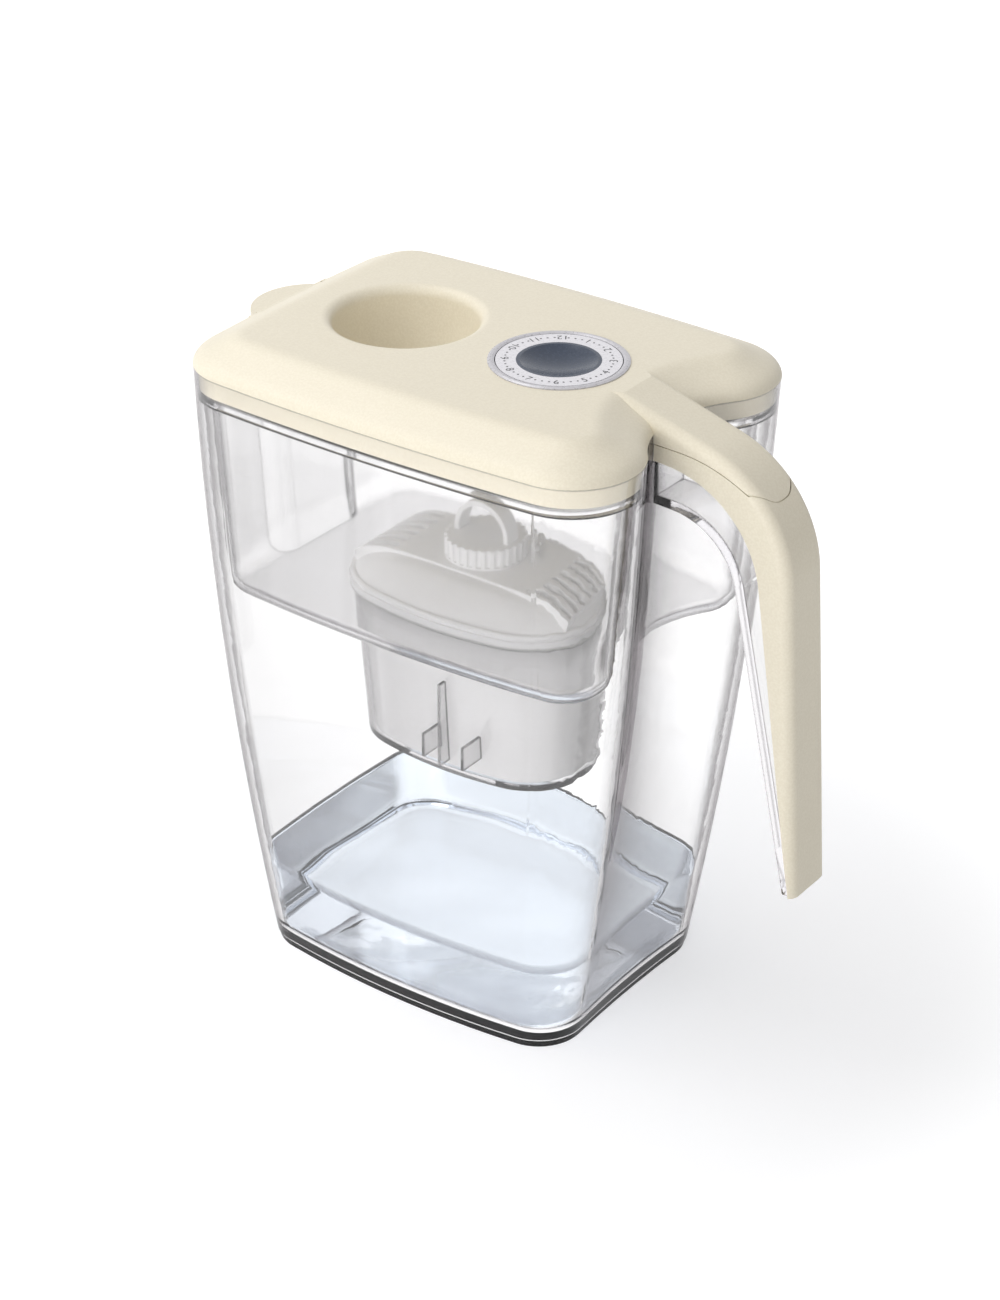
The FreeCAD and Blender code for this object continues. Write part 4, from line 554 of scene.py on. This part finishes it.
surface_share = np.linspace(1, MIDDLE_SHARE, SURFACE_RINGS)[1:]
surface_plan = wall_rings[-1][None, :, :2] * surface_share[:, None, None]
along, across = surface_plan[..., 0], surface_plan[..., 1]
ripple = RIPPLE_HEIGHT * (swaying_wave(along, across, *WAVE_ALONG)
                          + swaying_wave(across, along, *WAVE_ACROSS))
calm = np.clip((1 - surface_share) * CALM_RATE, 0, 1)[:, None]
surface_rings = np.concatenate([surface_plan, (WATER_LEVEL + ripple * calm)[..., None]], axis=-1)
bottom_share = np.linspace(MIDDLE_SHARE, 1, BOTTOM_RINGS)[:-1]
bottom_plan = wall_rings[0][None, :, :2] * bottom_share[:, None, None]
bottom_level = np.full(bottom_plan.shape[:2] + (1,), wall_rings[0][0, 2])
bottom_rings = np.concatenate([bottom_plan, bottom_level], axis=-1)
water_points = np.concatenate([bottom_rings, np.array(wall_rings), surface_rings]) + (JUG_SHIFT, 0, 0)
water = make_mesh("water_fill", water_points * MM, capped_faces(water_points))
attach(water, "jug")

water_finish, water_tree, water_shader, water_place = new_finish("clear_water")
water_shader.inputs["Base Color"].default_value = WATER_COLOUR
water_shader.inputs["Transmission Weight"].default_value = 1.0
water_shader.inputs["IOR"].default_value = WATER_IOR
water_flow = use_group(water_tree, flow_group, Vector=water_place, Scale=WATER_FLOW_SCALE)["Flow"]
water_gloss = spread_values(water_tree, water_flow, *WATER_ROUGHNESS)
water_tree.links.new(water_gloss, water_shader.inputs["Roughness"])
water_bumps = bumps(water_tree, water_flow, WATER_STRENGTH, WATER_DEPTH)
water_tree.links.new(water_bumps, water_shader.inputs["Normal"])
let_lamps_through(water_tree, water_shader, WATER_SHADE)
water.data.materials.append(water_finish)
print("water points:", water_points.shape)

# %% [markdown]
# ## Relief on the cartridge and the well
# The cap of the cartridge is a dome with a raised strip along it, which carries the slots, and a round lip
# along its edge. The well has three thin upright ribs on its near side. The strip is a grid: each row across
# it is a closed loop of top points and two foot points that lie inside the cap. The lip is a small circle
# that is carried round the cap's outline, and a rib is a thin plate with the lean of the well's wall.

# %% Cap strip, cap lip and well ribs
CAP_MIDDLE, CAP_FOOT, CAP_RISE = 2.0, 165.7, 12.0
CAP_HALF_LENGTH, CAP_HALF_WIDTH, CAP_CORNER = 54.4, 37.4, 30.4
CAP_SIDE_RADIUS, CAP_END_RADIUS = 150.4, 60.4
STRIP_HALF_LENGTH, STRIP_HALF_WIDTH, STRIP_RISE = 49.5, 18.5, 1.0
STRIP_ROWS, STRIP_COLUMNS, STRIP_POWER = 181, 125, 6.5
FEET_HALF_LENGTH, FEET_POWER, FEET_DEPTH, FEET_LOWEST = 50.5, 5.0, 2.0, 0.3
SLOT_PITCH, SLOT_WIDTH, SLOT_LENGTH = 6.0, 2.6, 17.0
SLOT_MIDDLE, SLOT_DEPTH = 40.0, 3.4
SLOT_SIDE_SOFT, SLOT_END_SOFT = 0.3, 0.5
LIP_INSET, LIP_RADIUS, LIP_LIFT, LIP_RINGS = 0.9, 1.3, 1.2, 17
WELL_WALL, WELL_LEVEL, WELL_CURVE, WELL_LEAN = -32.87, 103.0, 0.00254, 0.0686
RIB_SEAT, RIB_THICK = 0.4, 1.2
# A rib's place along the well, its foot, its top and its outer edge, in mm.
RIBS = ((7.4, 103.0, 139.0, -38.7), (3.4, 108.3, 118.3, -43.5), (22.0, 108.3, 118.3, -43.5))
RIB_FACES = np.array([[0, 1, 2, 3], [7, 6, 5, 4], [0, 4, 5, 1], [1, 5, 6, 2], [2, 6, 7, 3], [3, 7, 4, 0]])


def dome_height(reach, half_length, power):
    """Height over the cap's foot, which falls from its full rise with a high power of the distance from the
    middle."""
    return CAP_RISE * (1 - np.clip(np.abs(reach) / half_length, 0, 1) ** power)


def ramp(distance, soft):
    """0 below minus soft, 1 above soft, and a smooth S between them."""
    share = np.clip(distance / (2 * soft) + 0.5, 0, 1)
    return share * share * (3 - 2 * share)


strip_along = np.linspace(-STRIP_HALF_LENGTH, STRIP_HALF_LENGTH, STRIP_ROWS)
strip_across = np.linspace(-STRIP_HALF_WIDTH, STRIP_HALF_WIDTH, STRIP_COLUMNS)
reach, side = np.meshgrid(strip_along, strip_across, indexing="ij")
in_width = SLOT_WIDTH / 2 - np.abs(side % SLOT_PITCH - SLOT_PITCH / 2)
in_length = SLOT_LENGTH / 2 - np.abs(np.abs(reach) - SLOT_MIDDLE)
slotted = ramp(in_width, SLOT_SIDE_SOFT) * ramp(in_length, SLOT_END_SOFT)
strip_top = CAP_FOOT + dome_height(reach, CAP_HALF_LENGTH, STRIP_POWER) + STRIP_RISE - SLOT_DEPTH * slotted
feet_level = np.maximum(CAP_FOOT + dome_height(strip_along, FEET_HALF_LENGTH, FEET_POWER) - FEET_DEPTH,
                        CAP_FOOT + FEET_LOWEST)
strip_feet = np.stack([np.column_stack([strip_along, np.full_like(strip_along, edge), feet_level])
                       for edge in (STRIP_HALF_WIDTH, -STRIP_HALF_WIDTH)], axis=1)
strip_points = np.concatenate([np.stack([reach, side, strip_top], axis=-1), strip_feet], axis=1)
strip_points = strip_points + (CAP_MIDDLE, 0, 0)
cap_strip = make_mesh("cap_strip", strip_points * MM, capped_faces(strip_points), smooth=False)

lip_rings = []
for angle in np.linspace(0, 2 * np.pi, LIP_RINGS):
    inset = LIP_INSET - LIP_RADIUS * math.cos(angle)
    ring = tub_outline(CAP_HALF_LENGTH - inset, CAP_HALF_WIDTH - inset, CAP_CORNER - inset,
                       CAP_SIDE_RADIUS - inset, CAP_END_RADIUS - inset)
    lip_rings.append(np.column_stack([ring, np.full(len(ring), LIP_LIFT + LIP_RADIUS * math.sin(angle))]))
lip_points = np.array(lip_rings) + (CAP_MIDDLE, 0, CAP_FOOT)
cap_lip = make_mesh("cap_lip", lip_points * MM, grid_faces(len(lip_points), lip_points.shape[1]))


def rib_corners(middle, foot, top, outer):
    """Eight corners of a thin upright plate, from the well's near wall to an outer edge. The wall leans out
    evenly with height, and curves back with the square of the distance along it."""
    levels = np.array([foot, foot, top, top])
    wall = WELL_WALL + WELL_CURVE * middle ** 2 - WELL_LEAN * (levels - WELL_LEVEL) + RIB_SEAT
    out = np.where([True, False, False, True], wall, outer)
    return np.concatenate([np.column_stack([np.full(4, middle + shift), out, levels])
                           for shift in (-RIB_THICK / 2, RIB_THICK / 2)])


rib_points = np.array([rib_corners(*rib) for rib in RIBS])
rib_faces = np.concatenate([RIB_FACES + rib_points.shape[1] * rib for rib in range(len(RIBS))]).tolist()
well_ribs = make_mesh("well_ribs", rib_points * MM, rib_faces, smooth=False)
for piece, body, slot, finish in ((cap_strip, "cartridge", "cartridge_plastic", milky),
                                  (cap_lip, "cartridge", "cartridge_plastic", milky),
                                  (well_ribs, "hopper", "clear_plastic", clear_hopper)):
    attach(piece, body)
    piece.data.materials.append(finish)
print("strip, lip and rib points:", strip_points.shape, lip_points.shape, rib_points.shape)

# %% [markdown]
# ## Numbers and dots on the dial
# The dial counts the months until the next cartridge: twelve numbers with three dots between each two,
# printed in black. A number starts as a text object, which becomes a mesh, and its points are then turned
# and moved on to the ring as an array. All of them are joined in one thin piece that turns with the dial.

# %% Numbers and dots
ring_low, ring_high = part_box("dial_ring")
DIAL_X = (ring_low.x + ring_high.x) / 2
PRINT_LIFT, PRINT_RADIUS = 0.02 * MM, 20.0 * MM
PRINT_LEVEL = ring_high.z + PRINT_LIFT
NUMBER_SIZE, NUMBER_STEPS = 4.6 * MM, 3
DOT_RADIUS, DOT_SIDES = 0.42 * MM, 14
MONTHS, DOTS_BETWEEN = 12, 3
NEAR_MONTH, NEAR_TURN = 6, math.radians(4)
NEAR_ANGLE = AZIMUTH - math.pi / 2 - NEAR_TURN


def number_mesh(text):
    """Flat outline of a number, as arrays of points, centred on its middle, and faces."""
    letters = bpy.data.curves.new("number", "FONT")
    letters.body = text
    letters.size = NUMBER_SIZE
    letters.align_x = "CENTER"
    letters.align_y = "CENTER"
    letters.resolution_u = NUMBER_STEPS
    holder = bpy.data.objects.new("number", letters)
    flat = bpy.data.meshes.new_from_object(holder)
    points = np.empty(len(flat.vertices) * 3)
    flat.vertices.foreach_get("co", points)
    faces = [list(face.vertices) for face in flat.polygons]
    bpy.data.objects.remove(holder)
    bpy.data.meshes.remove(flat)
    points = points.reshape(-1, 3)[:, :2]
    return points - (points.min(0) + points.max(0)) / 2, faces


def on_ring(flat_points, angle):
    """Turns flat points so that their top faces the middle of the dial, and moves them to the ring."""
    outward = np.array([math.cos(angle), math.sin(angle)])
    sideways = np.array([-outward[1], outward[0]])
    plan = outward * PRINT_RADIUS + flat_points[:, :1] * sideways - flat_points[:, 1:] * outward
    return np.column_stack([plan + (DIAL_X, 0), np.full(len(plan), PRINT_LEVEL)])


month_turn = 2 * math.pi / MONTHS
dot_turn = np.linspace(0, 2 * np.pi, DOT_SIDES, endpoint=False)
round_dot = np.stack([np.cos(dot_turn), np.sin(dot_turn)], axis=-1) * DOT_RADIUS
dot_mesh = (round_dot, [list(range(DOT_SIDES))])
marks = [(number_mesh(str(month)), NEAR_ANGLE - (month - NEAR_MONTH) * month_turn)
         for month in range(1, MONTHS + 1)]
marks += [(dot_mesh, NEAR_ANGLE - (month + (dot + 1) / (DOTS_BETWEEN + 1)) * month_turn)
          for month in range(MONTHS) for dot in range(DOTS_BETWEEN)]
print_points, print_faces, used = [], [], 0
for (flat_points, faces), angle in marks:
    print_points.append(on_ring(flat_points, angle))
    print_faces += [[corner + used for corner in face] for face in faces]
    used += len(flat_points)
dial_print = make_mesh("dial_print", np.concatenate(print_points), print_faces, smooth=False)
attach(dial_print, "dial")
ink = grained_plastic("black_ink", (0.035, 0.035, 0.04, 1), (0.02, 0.02, 0.025, 1), 0.5, 1500.0, 0.005 * MM)
dial_print.data.materials.append(ink)
print("printed marks:", len(marks))
